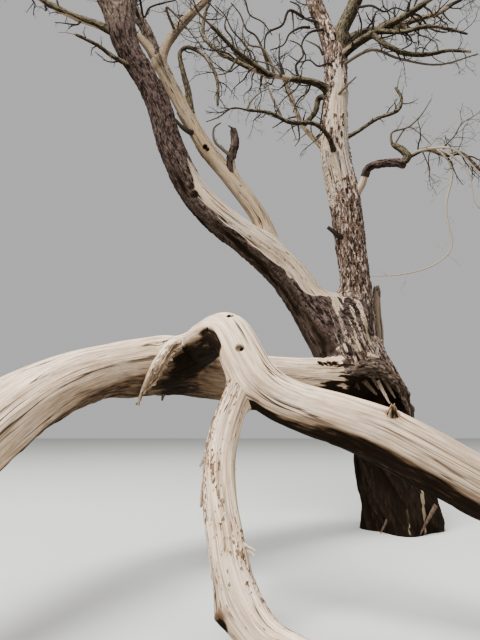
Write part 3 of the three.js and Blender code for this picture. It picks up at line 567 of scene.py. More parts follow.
# Holes and knots of each limb: where, their size, how deep they go, and whether they are black or brown; the
# black is painted shade inside the holes.
HOLES = {
    "arch_limb": [
        ((-1.922, -2.706, 1.960), 0.026, 0.05, 1.0), ((-2.102, -2.602, 1.874), 0.022, 0.02, 1.0),
        ((-1.857, -2.914, 1.698), 0.028, 0.016, 0.45), ((-1.838, -2.914, 1.690), 0.018, 0.02, 0.95),
        ((-2.471, -2.066, 1.853), 0.03, 0.04, 0.9), ((-2.395, -2.067, 1.853), 0.026, 0.04, 0.9),
        ((-2.344, -2.072, 1.844), 0.028, 0.04, 0.9), ((-0.945, -3.29, 1.26), 0.05, 0.0, 0.4)],
    "low_limb": [
        ((-2.44, -2.02, 1.84), 0.03, 0.03, 0.8), ((-0.964, -0.682, 1.831), 0.040, 0.04, 1.0),
        ((-0.905, -0.650, 1.828), 0.030, 0.03, 1.0), ((-0.852, -0.602, 1.839), 0.038, 0.04, 1.0),
        ((-0.800, -0.575, 1.835), 0.028, 0.03, 1.0), ((-0.776, -0.545, 1.845), 0.034, 0.04, 1.0)],
    "foot_limb": [
        ((-1.945, -3.56, 0.19), 0.055, 0.035, 0.9)],
    "second_stem": [
        ((-2.327, 0.206, 4.872), 0.034, 0.04, 1.0), ((-2.29, 0.20, 4.83), 0.026, 0.03, 0.9)],
    "leaning_stem": [
        ((-2.402, -0.356, 3.929), 0.05, 0.05, 0.55), ((-2.44, -0.37, 4.02), 0.045, 0.03, 0.4)],
}

# Swellings: the limb, where, how wide and how high.
SWELLINGS = [
    ("low_limb", (-2.50, -1.76, 1.88), 0.30, 0.045),
    ("low_limb", (-2.85, -2.15, 1.80), 0.25, 0.012),
    ("foot_limb", (-1.93, -3.50, 0.22), 0.09, 0.040),
]

# The limbs that share the bark of the fork.
FORK = ("trunk", "leaning_stem", "upright_stem")

# Patches by place: the limbs, their middle and half sizes, how much bark and darkness they add or take,
# how ragged their edges are and how softly they end.
PATCHES = [
    # Painted shadow of the arch on the low limb below it.
    (("low_limb",), (-2.16, -1.74, 1.56), (0.34, 0.36, 0.34), 0.0, 0.95, 0.15, 0.45),
    # Painted shade taken away again where the low limb's underside is lit.
    (("low_limb",), (-1.99, -1.57, 1.56), (0.34, 0.4, 0.24), 0.0, -0.62, 0.35, 0.8),
    # Painted shade under the low limb's root, over the trunk's hollow, with some bark.
    (("low_limb", "trunk"), (-0.36, -0.44, 1.56), (0.46, 0.36, 0.36), 0.3, 1.0, 0.45, 0.1),
    # Painted shade under the low limb near the trunk, with some bark.
    (("low_limb",), (-0.84, -0.66, 1.52), (0.17, 0.3, 0.13), 0.2, 0.9, 0.5, 0.2),
    (FORK, (-0.425, -0.55, 2.30), (0.060, 0.3, 0.33), -1.7, 0.0, 2.2, 0.12),
    (FORK, (-0.68, -0.62, 2.24), (0.10, 0.3, 0.22), -0.5, 0.0, 2.6, 0.35),
    (FORK, (-0.70, -0.40, 2.60), (0.075, 0.35, 0.11), -1.8, 0.0, 0.7, 0.2),
    (("foot_limb",), (-1.94, -3.53, 0.20), (0.07, 0.09, 0.08), 0.8, 0.4, 0.4, 0.2),
    (("trunk",), (0.14, -0.41, 0.31), (0.022, 0.2, 0.24), -1.3, -0.4, 0.7, 0.2),
    (("trunk",), (-0.05, -0.48, 0.16), (0.018, 0.2, 0.18), -1.2, -0.4, 0.7, 0.2),
    # Painted shade under the rise of the arch.
    (("arch_limb",), (-2.25, -2.13, 1.71), (0.13, 0.16, 0.10), 0.0, 0.95, 0.12, 0.55),
    (("upright_stem",), (-0.72, -0.05, 4.35), (0.16, 0.25, 0.55), -0.7, 0.0, 0.3, 0.1),
]

# The scoop that carries the hollow on into the root of the low limb.
SCOOP_MIDDLE = np.array((-0.34, -0.50, 1.52))
SCOOP_HALF_SIZES = np.array((0.30, 0.24, 0.20))

# How much of the common relief of bare wood the smoother limbs have.
SMOOTHED = {"arch_limb": 0.6, "foot_limb": 0.7, "low_limb": 0.8}

# The streak of bark that crosses the foot: heights in metres, and how far round to the right it lies there.
STREAM = ((0.34, 0.56, 0.75, 1.03, 1.25), (0.84, 0.50, 0.16, -0.70, -0.90))


def holes_in(limb, p):
    """How deep and how dark each place is because of the holes in a limb; black holes are painted shade."""
    depth = np.zeros(p.shape[:-1])
    dark = np.zeros(p.shape[:-1])
    for middle, size, deep, black in HOLES.get(limb.name, ()):
        away = np.linalg.norm(p - np.array(middle), axis=-1)
        rim = np.exp(-((away / size - 1.35) / 0.35) ** 2)
        depth += deep * (1 - step(0.4 * size, size, away)) - 0.08 * size * rim
        dark = np.maximum(dark, black * (1 - step(0.85 * size, 1.2 * size, away)))
    return depth, dark


def patched(limb, p, q, bark, dark):
    """Bark and darkness with the patches that a limb has, their edges ragged along the grain."""
    ragged = ripples(stretched(q, 0.020, 0.22, 5.0), 91, 3)
    if limb.name in FORK:
        upright = np.stack([p[..., 0] + 0.3 * p[..., 2], 0.2 * p[..., 1], 0.08 * p[..., 2]], axis=-1)
        ragged = ripples(upright / 0.024, 91, 2)
    for names, middle, half, more_bark, more_dark, roughness, softness in PATCHES:
        if limb.name not in names:
            continue
        inside = np.linalg.norm((p - np.array(middle)) / np.array(half), axis=-1)
        share = 1 - step(0.95 - softness, 0.95 + softness, inside + roughness * ragged)
        bark = np.clip(bark + more_bark * share, -1, 1)
        dark = np.clip(dark + more_dark * share, 0, 1)
    return bark, dark


class Surface:
    """The places of a limb's surface, and the noise that its finish draws on."""

    def __init__(self, limb, u, p, facing, q):
        self.limb, self.u, self.p, self.facing, self.q = limb, u, p, facing, q
        self.seed = int(limb.seed * 10) + 3
        self.along = np.broadcast_to(u[:, None], p.shape[:-1])
        self.up = facing[..., 2]
        self.none = np.zeros_like(self.along)
        self.patch = self.grained(0.16, 0.5, 60, 3)
        self.wood, self.cracks = wood_relief(q, self.seed, SMOOTHED.get(limb.name, 1.0))

    def grained(self, across, along, number, octaves):
        """Noise of one size across the grain and another along it, its own for each number."""
        return ripples(stretched(self.q, across, along, self.seed), self.seed + number, octaves)

    def plated(self, finish):
        """The height of the bark's plates, and how deep in a gap between them each place is."""
        return bark_relief(self.q, self.seed, *BARK_PLATES[finish])


# Stretches of the arch, as shares of its length: over which each begins, and over which it ends.
# These stretches set where the arch's painted shade, and the right limb's stains and painted shade, change.
ARCH_RISE = (0.19, 0.26)
ARCH_INSIDE = ((0.195, 0.262), (0.262, 0.298))
ARCH_FRONT = ((0.20, 0.26), (0.42, 0.48))
FOOT_ROOT = ((0.292, 0.308), (0.35, 0.375))
RIGHT_SOFTENS = (0.38, 0.45)
RIGHT_STAINS_AND_SHADE = (0.38, 0.46)
RIGHT_LEANS = (0.42, 0.5)


def column(u, low, high):
    """0 before a stretch of a limb and 1 after it, for each ring of its surface."""
    return step(low, high, u)[:, None]


def band(u, start, end):
    """1 from one stretch of a limb to another and 0 outside, for each ring of its surface."""
    return column(u, *start) * (1 - column(u, *end))


def arch_shade(s, lean, edge, fine):
    """How far each place of the arch leans into the painted shade of its inside and underside, and how softly
    that shade ends.
    """
    rise = 1 - column(s.u, *ARCH_RISE)
    inner = band(s.u, *ARCH_INSIDE)
    softness = np.maximum(np.maximum(rise, inner), 0.4 * column(s.u, *RIGHT_SOFTENS))
    lean = lean - np.maximum(rise, inner) * (0.22 * edge + 0.04 * fine)
    # Painted shade on the arch's inside, which faces to the back and the left; its front gets less of it.
    turned_away = -0.8 * s.facing[..., 0] + 0.6 * s.facing[..., 1]
    inside = step(0.02, 0.45, turned_away + 0.15 * fine)
    lean = lean + 0.14 * rise + inner * inside * (0.5 + 0.9 * step(-0.3, 0.05, -s.up))
    lean = lean - 0.55 * band(s.u, *ARCH_FRONT) * step(0.0, 0.4, -turned_away + 0.2)
    lean = lean + 0.10 * column(s.u, *RIGHT_LEANS)
    return lean - 0.6 * band(s.u, *FOOT_ROOT) * step(-0.6, -0.4, s.up), softness


def underside(s):
    """How much of each place is on the dark underside, partly rot and partly painted shade, with a ragged
    upper edge.
    """
    edge = s.grained(0.1, 0.55, 61, 3)
    fine = s.grained(0.02, 0.16, 63, 2)
    lean = -s.up + 0.30 * edge + 0.14 * fine
    softness = 0.0
    left = -s.p[..., 0]
    if s.limb.name == "arch_limb":
        lean, softness = arch_shade(s, lean, edge, fine)
    # On the low limb the painted shade reaches higher below the arch, near x = -2.2, and is smaller and
    # softer further out.
    if s.limb.name == "low_limb":
        lean = lean + 0.38 * np.exp(-((2.2 - left) / 0.5) ** 4) - 0.22 * step(2.4, 3.4, left)
        softness = 0.75 * step(2.0, 2.5, left)
    if s.limb.name == "foot_limb":
        lean = lean - 0.3
    return step(0.10 - 0.2 * softness, 0.34 + 0.55 * softness, lean)


def foot_bark(s):
    """Streaks of reddish bark: a stream that crosses the foot, and the bark that clings to its left."""
    flecks = s.grained(0.022, 0.26, 65, 2)
    crumbs = s.grained(0.0085, 0.028, 66, 2)
    middle = np.interp(s.p[..., 2], *STREAM)
    stream = 0.40 * np.exp(-((s.facing[..., 0] - middle) / 0.3) ** 2) - 0.14
    edge = -0.65 * s.facing[..., 0] - 0.36 - 0.3 * (1 - step(0.35, 0.7, s.p[..., 2]))
    return step(0.40, 0.52, 1.6 * np.maximum(stream, edge) + 0.4 * flecks + 0.72 * crumbs)


# The finishes. Each gives how far the surface stands out, and its share of bark and of darkness.

def driftwood(s):
    """Smooth bare wood, with stains and painted shade on its flanks and rot and painted shade on its torn
    underside.
    """
    under_shade = underside(s)
    torn = s.grained(0.035, 0.22, 62, 3)
    bark = foot_bark(s) if s.limb.name == "foot_limb" else s.none
    high = s.wood + under_shade * (0.012 * torn - 0.006) + 0.004 * bark
    deepest = 0.92
    stain_and_shade = step(0.0, 0.6, s.grained(0.045, 0.6, 68, 3))
    # Painted shade on the flanks, fading towards the top.
    flank_shade = 1 - step(0.45, 1.15, s.up + 0.25 * torn)
    # The right limb has more stains, and painted shade on its flanks too.
    if s.limb.name == "arch_limb":
        right = column(s.u, *RIGHT_STAINS_AND_SHADE)
        stain_and_shade = stain_and_shade * (0.35 + 0.65 * right) + (0.3 + 0.8 * flank_shade) * right
    # The low limb's painted underside shade is paler towards its far end, and its flanks have painted shade.
    if s.limb.name == "low_limb":
        deepest = 0.92 - 0.27 * step(2.2, 2.7, -s.p[..., 0])
        stain_and_shade = 0.55 * stain_and_shade + 0.8 * flank_shade
    dark = np.maximum(0.9 * step(0.68, 0.97, s.cracks), 0.16 * np.minimum(stain_and_shade, 1.6))
    return high, bark, np.maximum(dark, under_shade * (deepest + 0.3 * np.minimum(torn, 0)))


def knot(s):
    """A torn stub, dark at its root."""
    fibres = s.grained(0.012, 0.05, 0, 3)
    return 0.006 * fibres, s.none, np.clip(0.35 + 0.5 * (1 - s.along) - 0.7 * fibres, 0, 0.9)


SPLINTER_TEAR = np.array((0.75, -0.55, -0.35))


def splinter(s):
    """A splinter that is torn along the side that faces SPLINTER_TEAR; that side is darker, partly as torn
    wood and partly as painted shade.
    """
    fibres = s.grained(0.011, 0.10, 0, 3)
    torn = s.grained(0.02, 0.05, 2, 2)
    inside = step(-0.15, 0.25, s.facing @ SPLINTER_TEAR + 0.5 * torn) * step(0.04, 0.14, s.along)
    high = s.wood * 0.3 - inside * (0.026 - 0.022 * fibres - 0.022 * torn) + 0.003 * fibres
    return high, s.none, inside * np.clip(0.30 + 0.9 * fibres, 0, 0.8)


def weathered(s):
    """Old wood with painted shade below, and a few patches of bark."""
    bark_high, gaps = s.plated("pale")
    bark = step(0.5, 0.62, s.patch)
    shade = 0.45 * step(0.2, 0.9, -s.up + 0.3 * s.patch)
    return (s.wood * 0.6 * (1 - bark) + bark * (0.004 + bark_high), bark,
            np.maximum(np.maximum(s.cracks * 0.8, gaps * bark * 0.5), shade))


def covered(finish):
    """The finish for a bough whose bark has gone from a few patches only."""
    def cover(s):
        bark_high, gaps = s.plated(finish)
        bark = step(-0.62, -0.5, s.patch)
        return (s.wood * 0.35 * (1 - bark) + bark * (BARK_PLATES[finish][1] * 0.5 + bark_high), bark,
                np.maximum(s.cracks * (1 - bark), gaps * bark * 0.45))
    return cover


def torn_bark(s):
    """Lumpy torn bark with flutes that are dark between."""
    flutes = s.grained(0.035, 0.20, 24, 3)
    lumps = s.grained(0.09, 0.16, 27, 3)
    bark_high, _ = s.plated("torn_bark")
    return (0.030 * flutes + 0.040 * lumps + bark_high, np.ones_like(s.along) * 0.8,
            np.clip(0.30 - 0.9 * flutes, 0, 1) * 0.9)


def half_barked(s):
    """Bark clings to the root, to the underside, and all round past the middle of the stem."""
    bark_high, gaps = s.plated("half_barked")
    folds = s.grained(0.06, 0.5, 26, 2)
    lean = -s.up * 0.9 - 0.25 * s.facing[..., 0] + 0.9 * step(0.5, 0.68, s.along) - 0.12
    if s.limb.name == "leaning_stem":
        lean = lean + 1.3 * (1 - step(0.04, 0.24, s.along))
    if s.limb.name == "bent_bough":
        lean = 1.6 * (step(0.38, 0.5, s.along) - 0.5)
    bark = step(-0.06, 0.06, lean + 0.45 * s.patch)
    # Shaggy bark on the lower stem's underside and left side, darkened with painted shade.
    shaggy_and_shaded = step(0.0, 0.6, -s.up - 0.2 * s.facing[..., 0]) * (1 - step(0.55, 0.7, s.along))
    return (s.wood * 0.8 * (1 - bark) + bark * (0.008 + bark_high + 0.014 * shaggy_and_shaded * folds), bark,
            np.maximum(s.cracks * (1 - bark), bark * np.maximum(gaps * 0.5, shaggy_and_shaded * (0.55 - 0.5 * folds))))


def flaking(s):
    """Full bark low down, then flakes of it on pale wood."""
    bark_high, gaps = s.plated("flaking")
    flakes = ripples(stretched(s.q, 0.03, 0.09, 4.0), s.seed + 77, 3)
    if s.limb.name == "upright_stem":
        lean = 0.95 - 1.32 * step(0.40, 0.60, s.along) + 0.40 * np.abs(s.facing[..., 0])
        lean = lean + 0.9 * step(0.88, 0.96, s.along) + 0.25 * step(0.1, 0.8, -s.facing[..., 0])
    else:
        lean = 0.75 - 0.7 * step(0.45, 0.85, s.along)
    bark = step(-0.05, 0.05, lean + 0.7 * s.patch + 0.75 * flakes)
    return (s.wood * 0.6 * (1 - bark) + bark * (0.004 + bark_high), bark,
            np.maximum(s.cracks * (1 - bark), gaps * bark * 0.9))


def fissured(s):
    """The trunk: deep slanting fissures and slabs below, scaly bark above, and painted shade in its hollow.
    """
    high = s.p[..., 2]
    turn = 0.9 * s.q[..., 2]
    slant = np.stack([s.q[..., 0] * np.cos(turn) - s.q[..., 1] * np.sin(turn),
                      s.q[..., 0] * np.sin(turn) + s.q[..., 1] * np.cos(turn), s.q[..., 2]], axis=-1)
    slabs = 1 - np.abs(ripples(stretched(slant, 0.15, 0.9, s.seed), s.seed + 20, 3)) * 1.5
    strips = ripples(stretched(slant, 0.04, 0.5, s.seed), s.seed + 21, 3)
    low = 1 - step(1.45, 1.85, high)
    bark_high, gaps = s.plated("fissured")
    bark = step(-0.08, 0.08, 0.9 * step(1.45, 1.75, high) - 0.5 + 0.45 * s.grained(0.06, 0.45, 22, 3))
    rise = low * (0.06 * (slabs - 0.5) + 0.018 * strips)
    deep = low * np.clip(1.1 - 0.75 * slabs - 0.5 * strips, 0.15, 1)
    inside = np.linalg.norm((s.p - HOLLOW_MIDDLE) / HOLLOW_HALF_SIZES, axis=-1)
    shade = 1 - step(0.95, 1.3, inside + 0.2 * strips)
    return rise + bark * bark_high, bark, np.maximum(np.maximum(deep, gaps * bark * 0.5), shade)


FINISHES = {
    "driftwood": driftwood, "knot": knot, "splinter": splinter, "pale": weathered, "snag": weathered,
    "barked": covered("barked"), "thin_bark": covered("thin_bark"), "torn_bark": torn_bark,
    "half_barked": half_barked, "flaking": flaking, "fissured": fissured,
}


def blended(a, b, width):
    """The smooth lesser of two distances."""
    near = np.maximum(width - np.abs(a - b), 0) / width
    return np.minimum(a, b) - near * near * width / 4


# How widely the bark of the fork's limbs flows together, and between which places across that grows less; how
# widely the lip flows into the trunk, and the thickest limb that widens the flow elsewhere.
FORK_WIDTH = 0.36
FORK_EDGE = (-0.50, -0.28)
LIP_WIDTH = 0.06
WIDEST_BLEND = 0.55

# How often the surface is moved, how far at most each time, and how sharp the rims of the hollow are.
SETTLE_ROUNDS = 5
SETTLE_STEP = 0.06
RIM_WIDTH = 0.05


def blend_width(limb, other, p):
    """How widely two limbs flow together at each place."""
    if {limb.name, other.name} == {"lip", "trunk"}:
        return LIP_WIDTH
    if limb.name in FORK and other.name in FORK:
        return FORK_WIDTH * (1 - 0.75 * step(*FORK_EDGE, p[..., 0]))
    return 0.5 * min(limb.root_width, other.root_width, WIDEST_BLEND)


def hollowed(field, here, depth, middle, half_sizes):
    """The distances to a surface with an egg-shaped hollow cut out of it."""
    inside = depth * (np.linalg.norm((here - middle) / half_sizes, axis=-1) - 1)
    return -blended(-field, inside, RIM_WIDTH)


def settle(limb, p, out, flesh):
    """Moves a limb's surface onto the one smooth surface that it shares with its kin."""
    shift = np.zeros(p.shape[:-1])
    seam = np.zeros(p.shape[:-1])
    owner = np.full(p.shape[:-1], FAR)
    near = []
    for other in (LIMB[name] for name in kin(limb.name)):
        gap = other.away(p)
        width = blend_width(limb, other, p)
        if (gap - width).min() < 0:
            near.append((other, width, gap < width * 1.5))
    for _ in range(SETTLE_ROUNDS):
        here = p + out * shift[..., None]
        field = shift.copy()
        owner[:] = FAR
        for other, width, close in near:
            b = np.full(p.shape[:-1], FAR)
            b[close] = other.away(here[close])
            field = np.where(close, blended(field, b, width), field)
            owner = np.minimum(owner, b)
            seam = np.maximum(seam, np.where(close, 1 - np.clip((b - shift) / width, 0, 1), 0))
        if limb.name == "trunk":
            field = hollowed(field, here, 0.18, HOLLOW_MIDDLE, HOLLOW_HALF_SIZES)
        if limb.name in ("trunk", "low_limb"):
            field = hollowed(field, here, 0.2, SCOOP_MIDDLE, SCOOP_HALF_SIZES)
        shift = shift - np.clip(field, -SETTLE_STEP, SETTLE_STEP)
    if near and limb.name not in FORK:
        # A limb doesn't follow its kin further than a part of the width over which they flow together.
        limit = 0.42 * max(width for _, width, _ in near)
        shift = np.where(shift > limit, np.maximum(limit - 2 * (shift - limit), -0.4 * flesh), shift)
    hidden = owner < shift
    shift = np.where(hidden, shift - np.clip(0.5 * (shift - owner), 0, 0.03), shift)
    return p + out * shift[..., None], np.clip(seam, 0, 1)


# ---- Meshes ----

def mesh_piece(name, corners, quads, triangles=None, values=None):
    """A new piece from arrays of corners and faces, with named values for each corner."""
    mesh = bpy.data.meshes.new(name)
    triangles = np.zeros((0, 3), int) if triangles is None else np.asarray(triangles)
    quads = np.asarray(quads).reshape(-1, 4)
    loops = np.concatenate([quads.ravel(), triangles.ravel()])
    sizes = np.concatenate([np.full(len(quads), 4), np.full(len(triangles), 3)])
    mesh.vertices.add(len(corners))
    mesh.vertices.foreach_set("co", np.asarray(corners, np.float32).ravel())
    mesh.loops.add(len(loops))
    mesh.loops.foreach_set("vertex_index", loops.astype(np.int32))
    mesh.polygons.add(len(sizes))
    mesh.polygons.foreach_set("loop_start", (np.cumsum(sizes) - sizes).astype(np.int32))
    mesh.update(calc_edges=True)
    mesh.polygons.foreach_set("use_smooth", np.ones(len(sizes), bool))
    for key, rows in (values or {}).items():
        kind, field = ("FLOAT", "value") if rows.ndim == 1 else ("FLOAT_VECTOR", "vector")
        mesh.attributes.new(key, kind, "POINT").data.foreach_set(field, rows.astype(np.float32).ravel())
    mesh.validate()
    piece = bpy.data.objects.new(name, mesh)
    bpy.context.scene.collection.objects.link(piece)
    return piece


def tube_quads(rows, sides, first=0):
    """The faces of a tube between rings of corners."""
    row = first + np.arange(rows)[:, None] * sides
    side = np.arange(sides)[None, :]
    after = (side + 1) % sides
    quads = [row + side, row + after, row + sides + after, row + sides + side]
    return np.stack(quads, axis=-1).reshape(-1, 4)


def close_end(middle, sides, first, turn):
    """Triangles from one rim to a middle corner."""
    rim = np.arange(sides)
    following = (rim + 1) % sides
    middles = np.full(sides, middle)
    if turn:
        return np.stack([first + following, first + rim, middles], axis=1)
    return np.stack([first + rim, first + following, middles], axis=1)


# The fewest sides and rows of a skin, and the least share of its width that a rounded tip keeps.
FEWEST_SIDES = 14
FEWEST_ROWS = 10
BLUNTNESS = 0.1


def tip_shape(limb, u, angle):
    """How the surface narrows near a limb's tip, and how far its broken edge juts out there."""
    to_tip = ((1 - u) * limb.length / limb.radius(1.0))[:, None]
    if limb.end == "dome":
        return np.clip(np.sqrt(np.clip(1 - (1 - np.clip(to_tip, 0, 1)) ** 2, 0, 1)), BLUNTNESS, 1), None
    if limb.end == "flat":
        return 1.0, None
    rim = np.stack([np.cos(angle) * 2.5, np.sin(angle) * 2.5, angle * 0 + limb.seed], -1)
    ragged = (0.5 + 0.5 * ripples(rim, 9, 2))[None, :]
    jag = limb.radius(1.0) * 1.5 * (ragged - 0.6)
    return (1 - (0.42 * (1 - np.clip(to_tip / 1.6, 0, 1))) * (0.6 + 0.4 * ragged),
            jag * (1 - np.clip(to_tip / 2.5, 0, 1)))


def limb_piece(name, limb, finish, fineness):
    """The skin of one limb, with its relief and its broken or rounded end."""
    sides = int(max(FEWEST_SIDES, 2 * math.pi * limb.widest / fineness))
    rows = int(max(FEWEST_ROWS, limb.length / fineness)) + 1
    u = np.linspace(0, 1, rows)
    angle = np.linspace(0, 2 * math.pi, sides, endpoint=False)
    middle = limb.place(u)
    heading, normal, binormal = limb.across(u)
    out = binormal[:, None] * np.sin(angle)[None, :, None] + normal[:, None] * np.cos(angle)[None, :, None]
    narrowed, jag = tip_shape(limb, u, angle)
    radius = limb.girth(u[:, None], angle[None, :]) * narrowed
    p = middle[:, None] + out * radius[..., None]
    if jag is not None:
        p = p + heading[:, None] * jag[..., None]
    q = grain_places(limb, u, angle[None, :], radius)
    p, seam = settle(limb, p, out, radius)
    high, bark, dark = FINISHES[finish](Surface(limb, u, p, out, q))
    bark, dark = patched(limb, p, q, bark, dark)
    deep, holes = holes_in(limb, p)
    high = high * (1 - 0.8 * seam ** 2) - deep
    for owner, at, wide, tall in SWELLINGS:
        if owner == limb.name:
            high = high + tall * np.exp(-(np.linalg.norm(p - np.array(at), axis=-1) / wide) ** 2)
    if limb.name == "trunk":
        high = high * step(-0.02, 0.12, p[..., 2])
    p = p + out * high[..., None]
    if limb.name == "trunk":
        p[0, :, 2] = 0
    p[..., 2] = np.maximum(p[..., 2], 0.0)
    dark = np.clip(np.maximum(dark, holes), 0, 1)
    sunk = 0.4 * limb.radius(1.0) if limb.end == "stub" else 0
    ends = np.stack([middle[0], middle[-1] - heading[-1] * sunk])
    corners = np.vstack([p.reshape(-1, 3), ends])
    total = rows * sides
    tris = np.vstack([close_end(total, sides, 0, True), close_end(total + 1, sides, total - sides, False)])
    values = {
        "bark": np.concatenate([bark.ravel(), [0, 0]]),
        "dark": np.concatenate([dark.ravel(), [0.6, 0.4]]),
        "grain": np.vstack([q.reshape(-1, 3), [[0, 0, 0], [0, 0, limb.length]]]),
    }
    return mesh_piece(name, corners, tube_quads(rows - 1, sides), tris, values)


# ---- Torn wood ----

# Shards, piece by piece: their two colours, then where each stands and where it points, in metres, and how
# wide and how thick it is. Then their sides, how finely they are cut, their points and their roughness.
SHARDS = {
    "white_shards": (((0.80, 0.70, 0.58), (0.60, 0.47, 0.34)), [
        ((-1.845, -3.36, 0.535), (-1.768, -3.38, 0.480), 0.036, 0.024),
        ((-1.835, -3.37, 0.545), (-1.762, -3.38, 0.510), 0.022, 0.016)]),
    "pale_shards": (((0.50, 0.40, 0.29), (0.24, 0.17, 0.11)), [
        ((-2.055, -3.03, 1.01), (-2.103, -3.04, 0.93), 0.038, 0.020),
        ((-2.055, -3.03, 0.97), (-2.088, -3.11, 0.70), 0.070, 0.034),
        ((-0.28, -0.10, 2.10), (-0.135, -0.14, 2.165), 0.036, 0.03),
        ((-0.40, -0.46, 1.955), (-0.285, -0.50, 1.915), 0.05, 0.014),
        ((-0.275, -0.36, 1.66), (-0.165, -0.43, 1.40), 0.055, 0.014),
        ((-2.44, -2.075, 1.80), (-2.50, -2.14, 1.70), 0.03, 0.012),
        ((-2.37, -2.08, 1.80), (-2.40, -2.12, 1.73), 0.022, 0.010)]),
    "brown_shards": (((0.15, 0.105, 0.07), (0.05, 0.033, 0.021)), [
        ((-2.52, -1.76, 1.47), (-2.535, -1.765, 1.385), 0.05, 0.02),
        ((-0.33, -0.38, 1.69), (-0.275, -0.42, 1.56), 0.05, 0.02),
        ((-0.20, -0.36, 1.68), (-0.09, -0.40, 1.46), 0.05, 0.02),
        ((-0.44, -0.34, 1.68), (-0.30, -0.40, 1.50), 0.07, 0.02),
        ((-0.53, -0.34, 1.64), (-0.50, -0.42, 1.56), 0.09, 0.03),
        ((0.29, -0.40, 0.30), (0.06, -0.50, 0.012), 0.06, 0.03),
        ((-0.20, -0.36, 0.20), (-0.33, -0.40, 0.012), 0.05, 0.025)]),
}
SHARD_SIDES = 9
SHARD_CUTS = 4
SHARD_POINT = 0.3
SHARD_ROUGHNESS = 0.12


def shard(start, end, width, thickness):
    """One torn shard of wood, broad and flat at its root and narrowing to a broken point."""
    way = Vector(end) - Vector(start)
    bpy.ops.object.select_all(action="DESELECT")
    bpy.ops.mesh.primitive_cone_add(vertices=SHARD_SIDES, radius1=width / 2, radius2=width / 2 * SHARD_POINT,
                                    depth=way.length, location=(Vector(start) + Vector(end)) / 2,
                                    rotation=way.to_track_quat("Z", "X").to_euler())
    piece = bpy.context.object
    piece.scale = (1, thickness / width, 1)
    bpy.ops.object.transform_apply(location=True, rotation=True, scale=True)
    bpy.ops.object.mode_set(mode="EDIT")
    bpy.ops.mesh.select_all(action="SELECT")
    bpy.ops.mesh.subdivide(number_cuts=SHARD_CUTS)
    bpy.ops.transform.vertex_random(offset=thickness * SHARD_ROUGHNESS, seed=3)
    bpy.ops.object.mode_set(mode="OBJECT")
    return piece


# ---- The twig rule ----

# The source's rule: its random numbers; how many twigs stand where; how they lean, thin, turn and bend; and
# what room each keeps.
MODULUS = 2147483647
MULTIPLIER = 48271
TWIGS_ON_STEM = 5
TWIGS_ON_LOW_TWIG = 2
TWIGS_ON_HIGH_TWIG = 1
LOW_TWIGS = 3
FIRST_TWIG_AT = 0.16
LAST_TWIG_AT = 0.88
TWIG_LEAN = 0.85
TWIG_LENGTH = 0.62
TWIG_THICKNESS = 0.62
THINNEST_TWIG = 0.007
TURN_BETWEEN_TWIGS = 2.4
CROOKEDNESS = 0.22
STEM_TURNS = 3
TWIG_TURNS = 2
SPACE_WIDTH = 0.66
LOWEST_TWIG = 0.045
LOWEST_MASS_TWIG = 0.02
TWIG_CLEARANCE = 0.016
ROOM = 1.1
STEM_GIRTH = 0.86
STEM_TIP = 0.25
TWIG_TAPER = 0.6
FIRST_TWIG_LEAST = 1.6
SHORTENING = 0.5
FIRST_SPROUT_AT = 0.42
BETWEEN_SPROUTS = 0.32
SOURCE_GAP = 0.0003

# The finer twigs that the source leaves out: runs between turnings, how sharply they turn, how many
# stand on a metre of each order of twig, and how thick they are.
RUN_LENGTH = 0.075
GNARL = 0.5
FINE_PER_METRE = {1: 11.0, 2: 15.0}
FINE_GIRTH = 0.6
FINEST = 0.0045

# The shortest of them, how thick one is that has four sides, and how long one is that carries finer ones, in
# metres. No twig starts past FURTHEST of what bears it.
SHORTEST_FINE = 0.045
FOUR_SIDED_GIRTH = 0.009
BEARING_LENGTH = 0.1
FURTHEST = 0.99


def even_numbers(seed):
    """Numbers between -1 and 1, the same as the source draws for the same seed."""
    state = (seed * 7919 + 13) % MODULUS
    while True:
        state = (state * MULTIPLIER) % MODULUS
        yield 2 * state / MODULUS - 1


def sideways(heading, turn):
    helper = np.array((0.0, 0, 1)) if abs(heading[2]) < 0.9 else np.array((1.0, 0, 0))
    across = unit(np.cross(heading, helper))
    beside = np.cross(heading, across)
    return across * math.cos(turn) + beside * math.sin(turn)


def twig_places(start, heading, length, lift, number, turns, crooked=CROOKEDNESS):
    """The turning places of a twig that sets off along its heading and bends up or down as it goes."""
    places = [np.array(start, float)]
    way = np.array(heading, float)
    for _ in range(turns):
        sway = np.array([next(number), next(number), next(number)])
        way = unit(way + crooked * sway + np.array((0, 0, lift / turns)))
        following = places[-1] + way * length / turns
        following[2] = max(following[2], LOWEST_TWIG)
        places.append(following)
    return np.array(places)


def gnarled(start, heading, length, lift, number):
    """The turning places of a brittle twig: short runs that swing this way and that."""
    return twig_places(start, heading, length, lift, number, max(2, int(length / RUN_LENGTH)), GNARL)


